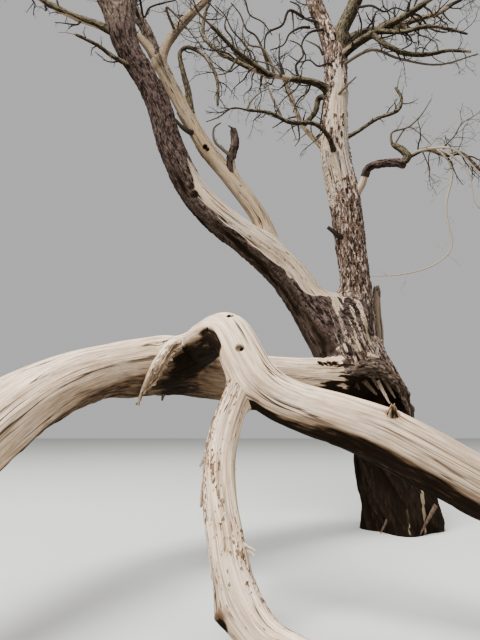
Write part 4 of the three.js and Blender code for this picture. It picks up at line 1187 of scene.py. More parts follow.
class Twigs:
    """Many twigs gathered into one piece, each in one of the piece's plain colours."""

    def __init__(self):
        self.corners, self.quads, self.tris, self.tints = [], [], [], []
        self.tri_tints = []
        self.count = 0

    def add(self, places, thick, thin, sides, rows, tint):
        """One twig through its turning places, thick at its root and thin at its tip."""
        line, _ = line_through(places, max(2, rows))
        reach = reaches(line)
        u = np.linspace(0, 1, rows + 1)
        mid = read_off(u * reach[-1], reach, line)
        heading = unit(np.gradient(mid, axis=0))
        helper = np.array((0.31, 0.17, 0.93)) if abs(heading[0][2]) < 0.9 else np.array((0.97, 0.1, 0.2))
        across = unit(np.cross(heading, helper))
        beside = np.cross(heading, across)
        angle = np.linspace(0, 2 * math.pi, sides, endpoint=False)
        radius = (thick + (thin - thick) * u ** 0.8) / 2
        ring = (mid[:, None] + (across[:, None] * np.cos(angle)[None, :, None]
                                + beside[:, None] * np.sin(angle)[None, :, None]) * radius[:, None, None])
        base = self.count
        self.corners.append(ring.reshape(-1, 3))
        self.quads.append(tube_quads(rows, sides, base))
        self.tints.append(np.full(rows * sides, tint))
        tip = base + rows * sides
        caps = [(base, base + k + 1, base + k) for k in range(1, sides - 1)]
        caps += [(tip, tip + k, tip + k + 1) for k in range(1, sides - 1)]
        self.tris.append(np.array(caps))
        self.tri_tints.append(np.full(len(caps), tint))
        self.count += (rows + 1) * sides

    def piece(self, name, materials):
        made = mesh_piece(name, np.vstack(self.corners), np.vstack(self.quads), np.vstack(self.tris))
        for material in materials:
            made.data.materials.append(material)
        tints = np.concatenate(self.tints + self.tri_tints)
        made.data.polygons.foreach_set("material_index", tints.astype(np.int32))
        return made


# How many places of a twig are tried against the crowd, how many a mass's twig adds to it, and how far apart
# those of a limb are, in metres.
CLEAR_STEPS = 8
MASS_STEPS = 16
CROWD_SPACING = 0.06


class Crowd:
    """Places that limbs and twigs already fill, which a new twig keeps clear of."""

    def __init__(self):
        self.places, self.radii, self.owners = [], [], []

    def take(self, owner, places, radii):
        self.places.append(places)
        self.radii.append(np.broadcast_to(radii, len(places)))
        self.owners += [owner] * len(places)

    def clear(self, places, thick, owners):
        line = through(places, CLEAR_STEPS)[1:]
        spots = np.vstack(self.places)
        wide = np.concatenate(self.radii)
        strangers = np.array([name not in owners for name in self.owners])
        gaps = np.linalg.norm(line[:, None] - spots[None, :], axis=2) - wide[None, :] * ROOM
        return not ((gaps < thick + TWIG_CLEARANCE) & strangers[None, :]).any()


def through(places, steps):
    """Places evenly spread along the list of turning places."""
    line, along = line_through(places, 12)
    return read_off(np.linspace(0, along[-1], steps + 1), along, line)


def limb_crowd():
    crowd = Crowd()
    for name, limb in LIMB.items():
        u = np.linspace(0, 1, int(limb.length / CROWD_SPACING) + 2)
        crowd.take(name, limb.place(u), limb.radius(u))
    return crowd


def spot_on(places, at):
    """The place at a share of a twig's length, and its heading there."""
    line, _ = line_through(places, 20)
    reach = reaches(line)
    here = at * reach[-1]
    k = min(len(line) - 2, int(np.searchsorted(reach, here, side="right")) - 1)
    return read_off(here, reach, line), unit(line[k + 1] - line[k])


def sprout(twigs, places, thick, length, lift, number, order, inside, tint):
    """Finer crooked twigs on a twig, and finer ones still on those."""
    count = max(2, int(FINE_PER_METRE[order] * length))
    for i in range(count):
        at = 0.12 + 0.85 * (i + 0.5 + 0.4 * next(number)) / count
        spot, run = spot_on(places, min(at, FURTHEST))
        away = sideways(run, TURN_BETWEEN_TWIGS * i + 1.2 * next(number))
        way = unit(run * (0.55 + 0.3 * next(number)) + away)
        reach = length * (0.34 + 0.22 * next(number)) * (1.15 - 0.55 * at)
        girth = max(FINEST, thick * (1 - TWIG_TAPER * at) * FINE_GIRTH)
        bends = gnarled(spot, way, max(reach, SHORTEST_FINE), lift * 0.6, number)
        if not inside(bends):
            continue
        sides = 4 if girth > FOUR_SIDED_GIRTH else 3
        twigs.add(bends, girth, max(0.6 * FINEST, girth * 0.45), sides, len(bends), tint)
        if order == 1 and reach > BEARING_LENGTH:
            sprout(twigs, bends, girth, reach, lift, number, 2, inside, tint)


# Below which numbers from -1 to 1 a twig is dark, and olive-tan rather than pale.
DARK_BELOW = 0.55
OLIVE_BELOW = 0.93


def tint_for(number):
    """Most twigs are dark, some olive-tan and a few pale."""
    share = next(number)
    return int(share >= DARK_BELOW) + int(share >= OLIVE_BELOW)


def twig_mass(name, crowd):
    """One mass of twigs: the source's own twigs, and finer ones on them within the same space."""
    host, reach, seed, lift = TWIG_MASSES[name]
    limb = LIMB[host]
    reach = reach * MM
    heading = limb.heading(1.0)
    start = limb.place(np.array(1.0)) + heading * SOURCE_GAP
    number = even_numbers(seed)
    finer_number = even_numbers(seed * 3 + 1)
    thick = float(limb.radius(1.0)) * 2 * STEM_GIRTH
    middle = start + heading * reach / 2

    def inside(places):
        away = np.linalg.norm(places - middle, axis=1)
        return (away < reach * SPACE_WIDTH).all() and places[:, 2].min() > LOWEST_MASS_TWIG

    stem = twig_places(start, heading, reach, lift, number, STEM_TURNS)
    stem[1] = start + heading * reach / STEM_TURNS
    tint = tint_for(finer_number)
    least = THINNEST_TWIG * FIRST_TWIG_LEAST
    twigs = Twigs()
    own = [(stem, thick)]
    sunk = np.vstack([start - heading * 0.04, stem])
    twigs.add(sunk, thick * 1.12, max(least, thick * STEM_TIP), 9, 16, tint)
    sprout(twigs, stem, thick * 0.45, reach * 0.6, lift, finer_number, 1, inside, tint)
    for i in range(TWIGS_ON_STEM):
        share = i / (TWIGS_ON_STEM - 1)
        along = FIRST_TWIG_AT + (LAST_TWIG_AT - FIRST_TWIG_AT) * share
        spot, run = spot_on(stem, along)
        away = sideways(run, TURN_BETWEEN_TWIGS * i + next(number) * 0.5)
        length = reach * TWIG_LENGTH * (1 - SHORTENING * share)
        girth = max(least, thick * (1 - TWIG_TAPER * along) * TWIG_THICKNESS)
        places = twig_places(spot, unit(run + away * TWIG_LEAN), length, lift, number, TWIG_TURNS)
        if not inside(places) or not crowd.clear(places, girth, (name,)):
            continue
        tint = tint_for(finer_number)
        own.append((places, girth))
        twigs.add(places, girth, max(THINNEST_TWIG, girth * 0.4), 7, 9, tint)
        sprout(twigs, places, girth, length, lift, finer_number, 1, inside, tint)
        for j in range(TWIGS_ON_LOW_TWIG if i < LOW_TWIGS else TWIGS_ON_HIGH_TWIG):
            at = FIRST_SPROUT_AT + BETWEEN_SPROUTS * j
            spot, run = spot_on(places, at)
            aside = sideways(run, TURN_BETWEEN_TWIGS * (j + 1) + next(number))
            finer = max(THINNEST_TWIG, girth * (1 - TWIG_TAPER * at) * TWIG_THICKNESS)
            bends = twig_places(spot, unit(run + aside * TWIG_LEAN), length * TWIG_LENGTH, lift, number, 1)
            if inside(bends) and crowd.clear(bends, finer, (name,)):
                own.append((bends, finer))
                twigs.add(bends, finer, THINNEST_TWIG * 0.6, 6, 6, tint)
                sprout(twigs, bends, finer, length * TWIG_LENGTH, lift, finer_number, 1, inside, tint)
    for places, girth in own:
        crowd.take(name, through(places, MASS_STEPS), girth / 2)
    return twigs


# Small branches that the photo shows one by one, in millimetres: what bears them, or None where they start in
# the open; their thickness; their tint; and their places.
SMALL_BRANCHES = {
    "upper_twig": ("left_bough_upper", 34, 1, [
        (-1320, -350, 5570), (-1440, -350, 5710), (-1630, -350, 5770), (-1750, -350, 5800)]),
    "top_twig": ("leader_left", 44, 0, [
        (-780, -60, 6580), (-980, -60, 6660), (-1040, -60, 6840), (-1160, -60, 6910)]),
    "top_hook": (None, 40, 0, [
        (-980, -60, 6660), (-1180, -150, 6690), (-1280, -150, 6460), (-1490, -150, 6330),
        (-1500, -150, 5980), (-1410, -150, 5840)]),
    "top_drop": (None, 28, 0, [(-1140, -120, 6720), (-1130, -120, 6610), (-1120, -120, 6350)]),
    "leader_spur": (None, 34, 1, [(-720, -20, 6110), (-790, -120, 6150), (-970, -120, 6260)]),
    "loop_right": ("left_bough_lower", 34, 1, [
        (-1350, -560, 4850), (-1460, -520, 5160), (-1500, -440, 5350), (-1550, -320, 5600)]),
    "loop_left": ("left_bough_lower", 26, 1, [
        (-1770, -650, 4890), (-1700, -560, 5080), (-1600, -500, 5220), (-1500, -420, 5320)]),
    "lower_spur": ("left_bough_lower", 28, 0, [
        (-1180, -540, 4800), (-1290, -480, 4850), (-1450, -430, 4780)]),
    "lower_drop": ("left_bough_lower", 24, 0, [
        (-1140, -520, 4800), (-1120, -450, 4620), (-1170, -420, 4540)]),
    "droop_short": ("bent_bough_side", 28, 2, [
        (560, -520, 4440), (670, -640, 4290), (810, -700, 4060), (860, -700, 3690), (910, -700, 3610)]),
    "droop_long": ("bent_bough_side", 30, 2, [
        (540, -500, 4450), (640, -600, 4250), (660, -620, 4080), (560, -620, 3690), (570, -620, 3420),
        (600, -620, 3260), (560, -620, 3120), (400, -620, 2980), (220, -620, 2900), (-80, -620, 2840),
        (-370, -620, 2830)]),
    "droop_wide": ("bent_bough_side", 30, 2, [
        (330, -390, 4480), (610, -760, 4330), (770, -760, 4200), (920, -760, 4020), (1160, -780, 3820)]),
    "knob_up": ("bent_bough_knob", 30, 1, [
        (60, -320, 4620), (60, -330, 4770), (270, -330, 4850), (440, -330, 5010), (590, -330, 5240)]),
    "knob_side": ("bent_bough_knob", 24, 1, [(270, -330, 4850), (400, -380, 4730), (530, -380, 4580)]),
    "stem_spur": ("upright_stem", 44, 1, [(-560, -100, 5440), (-440, -140, 5560), (-310, -140, 5690)]),
    "stem_knob": ("upright_stem", 110, 0, [(-600, -80, 3500), (-680, -120, 3550), (-750, -130, 3600)]),
    "second_knob": ("second_stem", 92, 0, [(-2530, 240, 5110), (-2640, 220, 5170), (-2745, 210, 5290)]),
    "snag_fork": ("short_snag", 52, 1, [
        (-1970, 110, 4690), (-2090, 100, 4790), (-2190, 100, 4900), (-2200, 100, 5090), (-2110, 100, 5170)]),
    "snag_top": ("short_snag", 46, 1, [(-1900, 100, 5030), (-1940, 100, 5080), (-2010, 100, 5130)]),
    "left_high_a": ("left_bough_upper", 40, 0, [
        (-1480, -260, 5700), (-1560, -200, 6080), (-1650, -200, 6270), (-1760, -200, 6350),
        (-1850, -200, 6590), (-1970, -200, 6760)]),
    "left_high_b": (None, 36, 0, [
        (-900, -60, 6500), (-1040, -150, 6420), (-1180, -150, 6330), (-1270, -150, 6160),
        (-1450, -150, 6080)]),
    "left_high_c": (None, 36, 0, [
        (-720, -110, 6430), (-930, -200, 6300), (-1030, -200, 6120), (-980, -200, 5930),
        (-1060, -200, 5780)]),
    "left_high_d": ("upright_stem", 34, 0, [
        (-670, -180, 5860), (-830, -250, 5770), (-940, -250, 5860), (-1060, -250, 5830),
        (-1210, -250, 5930)]),
    "above_mid": ("second_fork_right", 38, 0, [
        (-2060, 300, 7560), (-1900, 200, 7300), (-1780, 100, 7070), (-1710, 100, 6830), (-1540, 100, 6720),
        (-1400, 100, 6510)]),
    "above_low": ("left_bough_upper", 36, 0, [
        (-1710, -260, 5720), (-1710, -100, 6050), (-1810, 0, 6320), (-1960, 0, 6510), (-2060, 0, 6740),
        (-2200, 0, 6900)]),
    "left_low_fork": ("left_bough_fork", 34, 1, [
        (-1880, -460, 5740), (-2010, -420, 5560), (-2170, -400, 5530)]),
    "stem_drop": ("upright_stem", 36, 0, [
        (-780, -60, 5620), (-890, -100, 5640), (-950, -100, 5500), (-1080, -100, 5380), (-1150, -100, 5200)]),
    "right_high_a": ("leader_right", 36, 0, [
        (-220, -200, 6700), (-100, -300, 6630), (70, -300, 6540), (210, -300, 6600), (400, -300, 6510)]),
    "right_high_b": ("right_bough_near", 34, 0, [
        (230, -500, 6300), (430, -500, 6320), (570, -500, 6130), (760, -500, 6070), (930, -480, 6150)]),
    "web_low": ("upright_stem", 44, 1, [
        (-500, -60, 5900), (-110, -250, 6010), (210, -250, 5890), (740, -250, 5790), (1280, -250, 5950)]),
    "web_high": ("right_bough_near", 36, 1, [
        (-160, -300, 6180), (110, -300, 6400), (320, -300, 6280), (600, -300, 6310), (890, -300, 6460)]),
    "web_hook": ("upright_stem", 38, 0, [
        (-440, -100, 6150), (-160, -200, 6350), (0, -200, 6230), (170, -200, 6260), (420, -200, 6400)]),
    "web_drop": ("right_bough_near", 30, 0, [
        (300, -280, 6300), (420, -260, 6120), (250, -260, 6000), (60, -260, 5970)]),
    "left_web": ("left_bough_upper", 40, 0, [
        (-1640, -300, 5650), (-1780, -250, 5830), (-1900, -250, 5930), (-1960, -250, 6190),
        (-2050, -250, 6340), (-2000, -260, 6600)]),
    "left_twist": ("left_bough_upper", 36, 0, [
        (-1070, -200, 5600), (-1120, -250, 5770), (-1020, -250, 5930), (-1060, -250, 6080),
        (-1190, -250, 6150)]),
    "left_rise": ("left_bough_upper", 38, 1, [
        (-1400, -280, 5620), (-1460, -300, 5820), (-1560, -300, 6000), (-1720, -300, 6040),
        (-1810, -300, 6190), (-1800, -300, 6420)]),
    "from_above": ("second_fork_left", 46, 0, [
        (-3350, -200, 6950), (-3180, -400, 6700), (-3100, -400, 6360), (-3050, -300, 6600),
        (-2890, -200, 6760), (-2740, -100, 6890)]),
    "above_right": ("second_fork_right", 40, 1, [
        (-2860, -100, 6780), (-2680, -100, 6600), (-2580, -50, 6500), (-2340, 0, 6200)]),
}


# Boughs that carry twigs along their length: where the twigs begin, how many, how long, how they hang.
TWIGGY_BOUGHS = {
    "left_bough_upper": (0.12, 34, 0.60, 0.25),
    "left_bough_fork": (0.2, 14, 0.5, 0.05),
    "left_bough_lower": (0.2, 20, 0.42, 0.0),
    "left_bough_back": (0.3, 8, 0.45, 0.2),
    "right_bough_near": (0.2, 18, 0.6, 0.15),
    "right_bough_droop": (0.2, 12, 0.45, 0.1),
    "right_bough_low": (0.25, 9, 0.4, 0.1),
    "right_bough_far": (0.2, 18, 0.55, 0.15),
    "right_bough_thin": (0.4, 8, 0.35, 0.0),
    "bent_bough_side": (0.1, 14, 0.6, -0.45),
    "leaning_side_bough": (0.3, 9, 0.55, 0.1),
    "leaning_thin_bough": (0.3, 6, 0.3, 0.0),
    "hooked_branch": (0.4, 13, 0.45, -0.4),
    "leader_left": (0.1, 28, 0.75, 0.2),
    "leader_right": (0.3, 13, 0.7, 0.3),
    "leaning_fork_left": (0.3, 13, 0.75, 0.3),
    "leaning_fork_right": (0.3, 13, 0.75, 0.3),
    "second_fork_left": (0.25, 13, 0.65, 0.3),
    "second_fork_right": (0.25, 13, 0.65, 0.3),
    **{name: (0.25, 10, 0.6, 0.2) for name in UNSEEN_BOUGHS},
}

# How thick a side twig may be, how far twigs stay inside the solids' box, where the last one stands along a
# bough, and the longest reach of the finer twigs on a small branch.
THICKEST_SIDE_TWIG = 0.034
BOX_MARGIN = 0.02
LAST_SIDE_TWIG_AT = 0.98
LONGEST_FINE_REACH = 0.75


def in_box(places):
    low, high = np.array(CAD_BOX[0]) + BOX_MARGIN, np.array(CAD_BOX[1]) - BOX_MARGIN
    return (places > low).all() and (places < high).all()


def bough_twigs(names, crowd):
    """The twigs along several boughs, by the same rule as the masses."""
    twigs = Twigs()
    for name in names:
        first, count, length, lift = TWIGGY_BOUGHS[name]
        limb = LIMB[name]
        number = even_numbers(sum(name.encode()) * 13)
        own = (name, PARENT[name])
        for i in range(count):
            share = (i + 0.5 + 0.35 * next(number)) / count
            at = min(first + (LAST_SIDE_TWIG_AT - first) * share, FURTHEST)
            heading, radius = limb.heading(at), float(limb.radius(at))
            away = sideways(heading, TURN_BETWEEN_TWIGS * i + 0.9 * next(number))
            way = unit(heading * 0.55 + away)
            reach = length * (0.72 + 0.42 * next(number))
            girth = min(THICKEST_SIDE_TWIG, radius * 1.1) * (0.75 + 0.25 * next(number))
            start = limb.place(np.array(at)) + away * radius * 0.4
            places = gnarled(start, way, reach, lift, number)
            if not in_box(places) or not crowd.clear(places[1:], girth, own):
                continue
            tint = tint_for(number)
            twigs.add(places, girth, max(FINEST, girth * 0.35), 6, 2 * len(places), tint)
            sprout(twigs, places, girth, reach, lift, number, 1, in_box, tint)
            crowd.take(name, through(places, CLEAR_STEPS), girth / 2)
    return twigs


def small_branches():
    """The small branches that the photo shows one by one, with finer twigs on them."""
    twigs = Twigs()
    for name, (host, thick, tint, places) in SMALL_BRANCHES.items():
        places = np.array(places, float) * MM
        if host:
            middles = LIMB[host].coarse
            places = np.vstack([middles[np.linalg.norm(middles - places[0], axis=1).argmin()], places])
        number = even_numbers(sum(name.encode()) * 19)
        girth = thick * MM
        reach = min(LONGEST_FINE_REACH, float(reaches(places)[-1]) * 0.5)
        twigs.add(places, girth * 1.15, girth * 0.4, 7, 5 * len(places), tint)
        sprout(twigs, places, girth * 0.7, reach, 0.1, number, 1, in_box, tint)
    return twigs


# ---- Materials ----

# How much anything shines, as weathered wood hardly does.
SHEEN = 0.02


class Shade:
    """A socket in a material, with sums and products that add the nodes for them."""

    def __init__(self, tree, socket):
        self.tree, self.socket = tree, socket

    def _math(self, operation, other, swap=False):
        pair = (other, self) if swap else (self, other)
        return self.node("ShaderNodeMath", {"operation": operation}, {0: pair[0], 1: pair[1]})

    def node(self, kind, settings, inputs, output=0):
        return add_node(self.tree, kind, settings, inputs, output)

    def __add__(self, other):
        return self._math("ADD", other)

    __radd__ = __add__

    def __sub__(self, other):
        return self._math("SUBTRACT", other)

    def __rsub__(self, other):
        return self._math("SUBTRACT", other, True)

    def __mul__(self, other):
        return self._math("MULTIPLY", other)

    __rmul__ = __mul__

    def ramp(self, low, high):
        """0 below low, 1 above high."""
        smooth = {"interpolation_type": "SMOOTHSTEP"}
        return self.node("ShaderNodeMapRange", smooth, {0: self, 1: low, 2: high})

    def size(self):
        return self.node("ShaderNodeMath", {"operation": "ABSOLUTE"}, {0: self})

    def most(self, other):
        return self._math("MAXIMUM", other)


def add_node(tree, kind, settings, inputs, output=0):
    node = tree.nodes.new(kind)
    for key, value in settings.items():
        setattr(node, key, value)
    for key, value in inputs.items():
        if isinstance(value, Shade):
            tree.links.new(value.socket, node.inputs[key])
        else:
            node.inputs[key].default_value = value
    return Shade(tree, node.outputs[output] if len(node.outputs) else None)


def stretch(tree, place, scale):
    return add_node(tree, "ShaderNodeMapping", {"vector_type": "POINT"}, {"Vector": place, "Scale": scale})


def noise(tree, place, scale, detail, rough):
    return add_node(tree, "ShaderNodeTexNoise", {"noise_dimensions": "3D", "normalize": True},
                    {"Vector": stretch(tree, place, scale), "Scale": 1.0, "Detail": detail,
                     "Roughness": rough})


def tint(tree, share, first, second):
    """A mix of two colours, each a socket or three numbers."""
    first, second = (colour(one) if isinstance(one, tuple) else one for one in (first, second))
    return add_node(tree, "ShaderNodeMix", {"data_type": "RGBA"}, {0: share, 6: first, 7: second}, 2)


def attribute(tree, name, output):
    return add_node(tree, "ShaderNodeAttribute", {"attribute_name": name}, {}, output)


def colour(rgb):
    return (*rgb, 1.0)


def empty_material(name):
    """A material with no nodes yet, and its tree."""
    material = bpy.data.materials.new(name)
    material.use_nodes = True
    material.node_tree.nodes.clear()
    return material, material.node_tree


def finish_material(tree, values):
    """Adds the surface, with the sockets and numbers that it takes."""
    surface = add_node(tree, "ShaderNodeBsdfPrincipled", {}, {**values, "Specular IOR Level": SHEEN})
    add_node(tree, "ShaderNodeOutputMaterial", {}, {0: surface})


def limb_material(name, looks):
    """Bare weathered wood with cracks, and bark over it where the piece's own values say so."""
    material, tree = empty_material(name)
    place = attribute(tree, "grain", 1)
    bark = attribute(tree, "bark", 2)
    dark = attribute(tree, "dark", 2)

    def grain(across, along, detail, rough):
        return noise(tree, place, (across, across, along), detail, rough)

    here = add_node(tree, "ShaderNodeTexCoord", {}, {}, 3)
    facing = add_node(tree, "ShaderNodeNewGeometry", {}, {}, 1)
    up = add_node(tree, "ShaderNodeSeparateXYZ", {}, {0: facing}, 2)
    fibre = grain(80, 2.4, 5.0, 0.7)
    streak = grain(42, 1.6, 3.0, 0.55)
    cloud = noise(tree, here, (2.6, 2.6, 2.6), 3.0, 0.5)
    mottle = grain(26, 9, 4.0, 0.6)
    freckle = grain(78, 15, 4.0, 0.65)
    hair = 1.0 - (grain(18, 0.5, 2.0, 0.5) - 0.5).size().ramp(0.006, 0.022)
    hair = hair * grain(6, 1.1, 2.0, 0.5).ramp(0.44, 0.54)
    fine = 1.0 - (grain(48, 1.3, 2.0, 0.5) - 0.5).size().ramp(0.008, 0.05)
    fine = fine * grain(12, 1.6, 2.0, 0.5).ramp(0.42, 0.6)
    hair = hair.most(fine * 0.6)
    wood = tint(tree, streak.ramp(0.36, 0.64), looks["deep"], looks["light"])
    wood = tint(tree, cloud.ramp(0.4, 0.68), wood, looks["grey"])
    wood = tint(tree, fibre.ramp(0.40, 0.58) * -0.6 + 0.6, wood, looks["line"])
    wood = tint(tree, freckle.ramp(0.32, 0.56) * -0.36 + 0.36, wood, looks["line"])
    wood = tint(tree, mottle.ramp(0.56, 0.75) * looks["speckle"], wood, looks["stain"])
    # Painted shade on surfaces that face down.
    under_shade = (up * -1.0 + (mottle - 0.5) * 0.7).ramp(0.1, 0.75)
    wood = tint(tree, under_shade * looks["underside"], wood, looks["shade"])
    wood = tint(tree, hair * 0.95, wood, looks["crack"])
    size = looks["bark_size"]
    flake = noise(tree, place, (64 / size, 64 / size, 17 / size), 5.0, 0.7)
    scale = noise(tree, place, (110 / size, 110 / size, 24 / size), 3.0, 0.6)
    skin = tint(tree, flake.ramp(0.43, 0.57), looks["bark_deep"], looks["bark_light"])
    skin = tint(tree, scale.ramp(0.53, 0.61) * looks["flecks"], skin, looks["fleck"])
    # Painted shade on the undersides of bark.
    skin = tint(tree, under_shade * looks["bark_shade"], skin, looks["crack"])
    both = tint(tree, bark.ramp(0.35, 0.65), wood, skin)
    bared = (bark * -1.0 + (flake - 0.5) * 1.4).ramp(0.3, 0.5)
    pale = tint(tree, streak, looks["bared_deep"], looks["bared_light"])
    both = tint(tree, bared, both, pale)
    torn = grain(50, 7, 4.0, 0.65)
    brown = tint(tree, torn.ramp(0.35, 0.7), looks["rot_and_shade_deep"], looks["rot_and_shade_light"])
    # The piece's dark values hold cracks, stains, rot, holes and painted shade; they turn the colour tan,
    # then brown, then near black.
    both = tint(tree, (dark + (torn - 0.5) * 0.2).ramp(0.0, 0.3) * looks["tan"], both, looks["shade"])
    both = tint(tree, (dark + (torn - 0.5) * 0.35).ramp(0.2, 0.5) * 0.92, both, brown)
    both = tint(tree, (dark - (torn - 0.5) * 0.7).ramp(0.45, 0.85) * 0.97, both, looks["crack"])
    rise = (fibre * 0.5 + streak * 0.35 - hair * 0.9) * (1.0 - bark) + (flake + scale * 0.5) * bark * 1.6
    bump = add_node(tree, "ShaderNodeBump", {}, {"Strength": 0.55, "Distance": looks["bump"], "Height": rise})
    finish_material(tree, {"Base Color": both, "Roughness": 0.78 + bark * 0.12, "Normal": bump})
    return material


def shard_material(name, rgbs):
    """Torn wood in two colours, streaked up and down."""
    material, tree = empty_material(name)
    here = add_node(tree, "ShaderNodeTexCoord", {}, {}, 3)
    fibre = noise(tree, here, (130, 130, 22), 3.0, 0.6).ramp(0.35, 0.65)
    finish_material(tree, {"Base Color": tint(tree, fibre, rgbs[1], rgbs[0]), "Roughness": 0.85})
    return material


def plain_material(name, rgb, roughness):
    material = bpy.data.materials.new(name)
    material.use_nodes = True
    surface = material.node_tree.nodes["Principled BSDF"]
    surface.inputs["Base Color"].default_value = colour(rgb)
    surface.inputs["Roughness"].default_value = roughness
    surface.inputs["Specular IOR Level"].default_value = SHEEN
    return material


# The looks of the finishes: the colours of wood, cracks, rot and bark, and how strong each effect is. Each
# has those of the driftwood but for its own changes.
# The shade colour, with the strengths underside and bark_shade, is painted shade below; the crack and rot
# colours also paint the dark end of the painted shade.
DRIFTWOOD = dict(
    light=(0.95, 0.745, 0.55), deep=(0.66, 0.475, 0.31), grey=(0.82, 0.67, 0.52), line=(0.36, 0.245, 0.15),
    stain=(0.34, 0.24, 0.15), speckle=0.35, shade=(0.22, 0.15, 0.095), underside=0.8,
    crack=(0.008, 0.005, 0.003), rot_and_shade_deep=(0.040, 0.022, 0.012), rot_and_shade_light=(0.16, 0.097, 0.053), flecks=0.6,
    bared_deep=(0.20, 0.145, 0.09), bared_light=(0.46, 0.37, 0.24), bark_size=1.0, tan=0.6, bark_shade=0.4,
    bark_deep=(0.060, 0.034, 0.022), bark_light=(0.19, 0.108, 0.066), fleck=(0.34, 0.25, 0.17), bump=0.004)

CHANGES = {
    "driftwood": {},
    "splinter": {
        "light": (0.70, 0.58, 0.42), "deep": (0.56, 0.42, 0.26), "underside": 0.3,
        "rot_and_shade_light": (0.50, 0.36, 0.23), "rot_and_shade_deep": (0.20, 0.12, 0.07)},
    "knot": {
        "tan": 0.0, "light": (0.40, 0.28, 0.17), "deep": (0.22, 0.14, 0.08),
        "grey": (0.30, 0.22, 0.15), "underside": 0.4, "rot_and_shade_light": (0.22, 0.14, 0.085),
        "rot_and_shade_deep": (0.07, 0.04, 0.024)},
    "pale": {
        "bark_deep": (0.05, 0.035, 0.025), "bark_light": (0.13, 0.098, 0.066),
        "light": (0.275, 0.21, 0.128), "deep": (0.15, 0.11, 0.064), "grey": (0.215, 0.178, 0.125),
        "underside": 0.75, "speckle": 0.6, "stain": (0.16, 0.115, 0.07), "shade": (0.10, 0.075, 0.045)},
    "snag": {
        "bark_deep": (0.04, 0.03, 0.022), "bark_light": (0.11, 0.085, 0.06), "tan": 0.0,
        "light": (0.24, 0.19, 0.145), "deep": (0.105, 0.08, 0.06), "grey": (0.19, 0.165, 0.14),
        "underside": 0.6, "speckle": 0.7, "stain": (0.06, 0.042, 0.03), "shade": (0.06, 0.045, 0.03)},
    "half_barked": {
        "tan": 0.0, "light": (0.47, 0.38, 0.285), "deep": (0.30, 0.225, 0.155),
        "grey": (0.38, 0.33, 0.265), "rot_and_shade_deep": (0.016, 0.010, 0.007), "rot_and_shade_light": (0.060, 0.042, 0.030),
        "underside": 0.7, "bark_deep": (0.010, 0.006, 0.005), "bark_light": (0.070, 0.046, 0.038),
        "fleck": (0.16, 0.12, 0.10), "flecks": 0.45, "bark_size": 2.0, "bump": 0.010},
    "flaking": {
        "tan": 0.0, "light": (0.53, 0.45, 0.36), "deep": (0.33, 0.25, 0.18),
        "grey": (0.44, 0.40, 0.36), "underside": 0.3, "speckle": 0.8, "stain": (0.15, 0.10, 0.07),
        "bark_deep": (0.013, 0.008, 0.006), "bark_light": (0.112, 0.073, 0.056), "fleck": (0.44, 0.35, 0.29),
        "flecks": 0.7, "bark_size": 2.4, "bump": 0.014},
    "barked": {
        "tan": 0.0, "light": (0.28, 0.23, 0.18), "deep": (0.16, 0.12, 0.085),
        "grey": (0.22, 0.19, 0.155), "bark_deep": (0.022, 0.015, 0.011), "bark_light": (0.085, 0.061, 0.047),
        "fleck": (0.20, 0.155, 0.12), "bark_size": 1.6, "bump": 0.006},
    "thin_bark": {
        "tan": 0.0, "light": (0.21, 0.17, 0.12), "deep": (0.11, 0.085, 0.058),
        "grey": (0.16, 0.14, 0.11), "bark_deep": (0.018, 0.014, 0.009), "bark_light": (0.100, 0.082, 0.050),
        "fleck": (0.19, 0.16, 0.105), "bark_shade": 0.85, "bump": 0.004},
    # The trunk's near-black wood colours are partly its dark bark and partly painted shade at its foot.
    "fissured": {
        "tan": 0.0, "light": (0.019, 0.013, 0.008), "deep": (0.006, 0.004, 0.003),
        "grey": (0.013, 0.010, 0.007), "stain": (0.016, 0.010, 0.006), "speckle": 0.7,
        "line": (0.02, 0.013, 0.008), "rot_and_shade_deep": (0.006, 0.004, 0.003), "rot_and_shade_light": (0.024, 0.015, 0.009),
        "bark_deep": (0.022, 0.013, 0.009), "bark_light": (0.20, 0.135, 0.105), "fleck": (0.46, 0.37, 0.31),
        "flecks": 0.7, "bark_size": 2.6, "bump": 0.014},
    "torn_bark": {
        "tan": 0.0, "light": (0.24, 0.18, 0.13), "deep": (0.10, 0.07, 0.05),
        "grey": (0.2, 0.16, 0.12), "rot_and_shade_deep": (0.022, 0.014, 0.010), "rot_and_shade_light": (0.085, 0.060, 0.043),
        "bark_deep": (0.022, 0.014, 0.010), "bark_light": (0.098, 0.068, 0.050), "fleck": (0.28, 0.22, 0.17),
        "flecks": 0.5, "bark_size": 1.5, "bump": 0.010},
}
LOOKS = {name: {**DRIFTWOOD, **changes} for name, changes in CHANGES.items()}

TWIG_TINTS = [("twig_dark", (0.026, 0.020, 0.015)), ("twig_olive", (0.075, 0.058, 0.040)),
              ("twig_pale", (0.27, 0.22, 0.16))]

materials = {}


def finish_for(name):
    if name not in materials:
        materials[name] = limb_material(name, LOOKS[name])
    return materials[name]


def twig_finishes():
    for name, rgb in TWIG_TINTS:
        if name not in materials:
            materials[name] = plain_material(name, rgb, 0.85)
    return [materials[name] for name, _ in TWIG_TINTS]


def dress_limbs(context, names):
    scale = context.scene.dead_pine_sizes.coarseness
    for name in names:
        slot, finish, fineness = SKINS[name]
        nodes = () if name in FUSED else SPLIT.get(name, (name,))
        piece = limb_piece(name + "_skin", LIMB[name], finish, fineness * scale)
        piece.data.materials.append(finish_for(finish))
        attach(piece, "root")
        if nodes:
            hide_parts(*nodes)


# ---- Settings, operators and panel ----

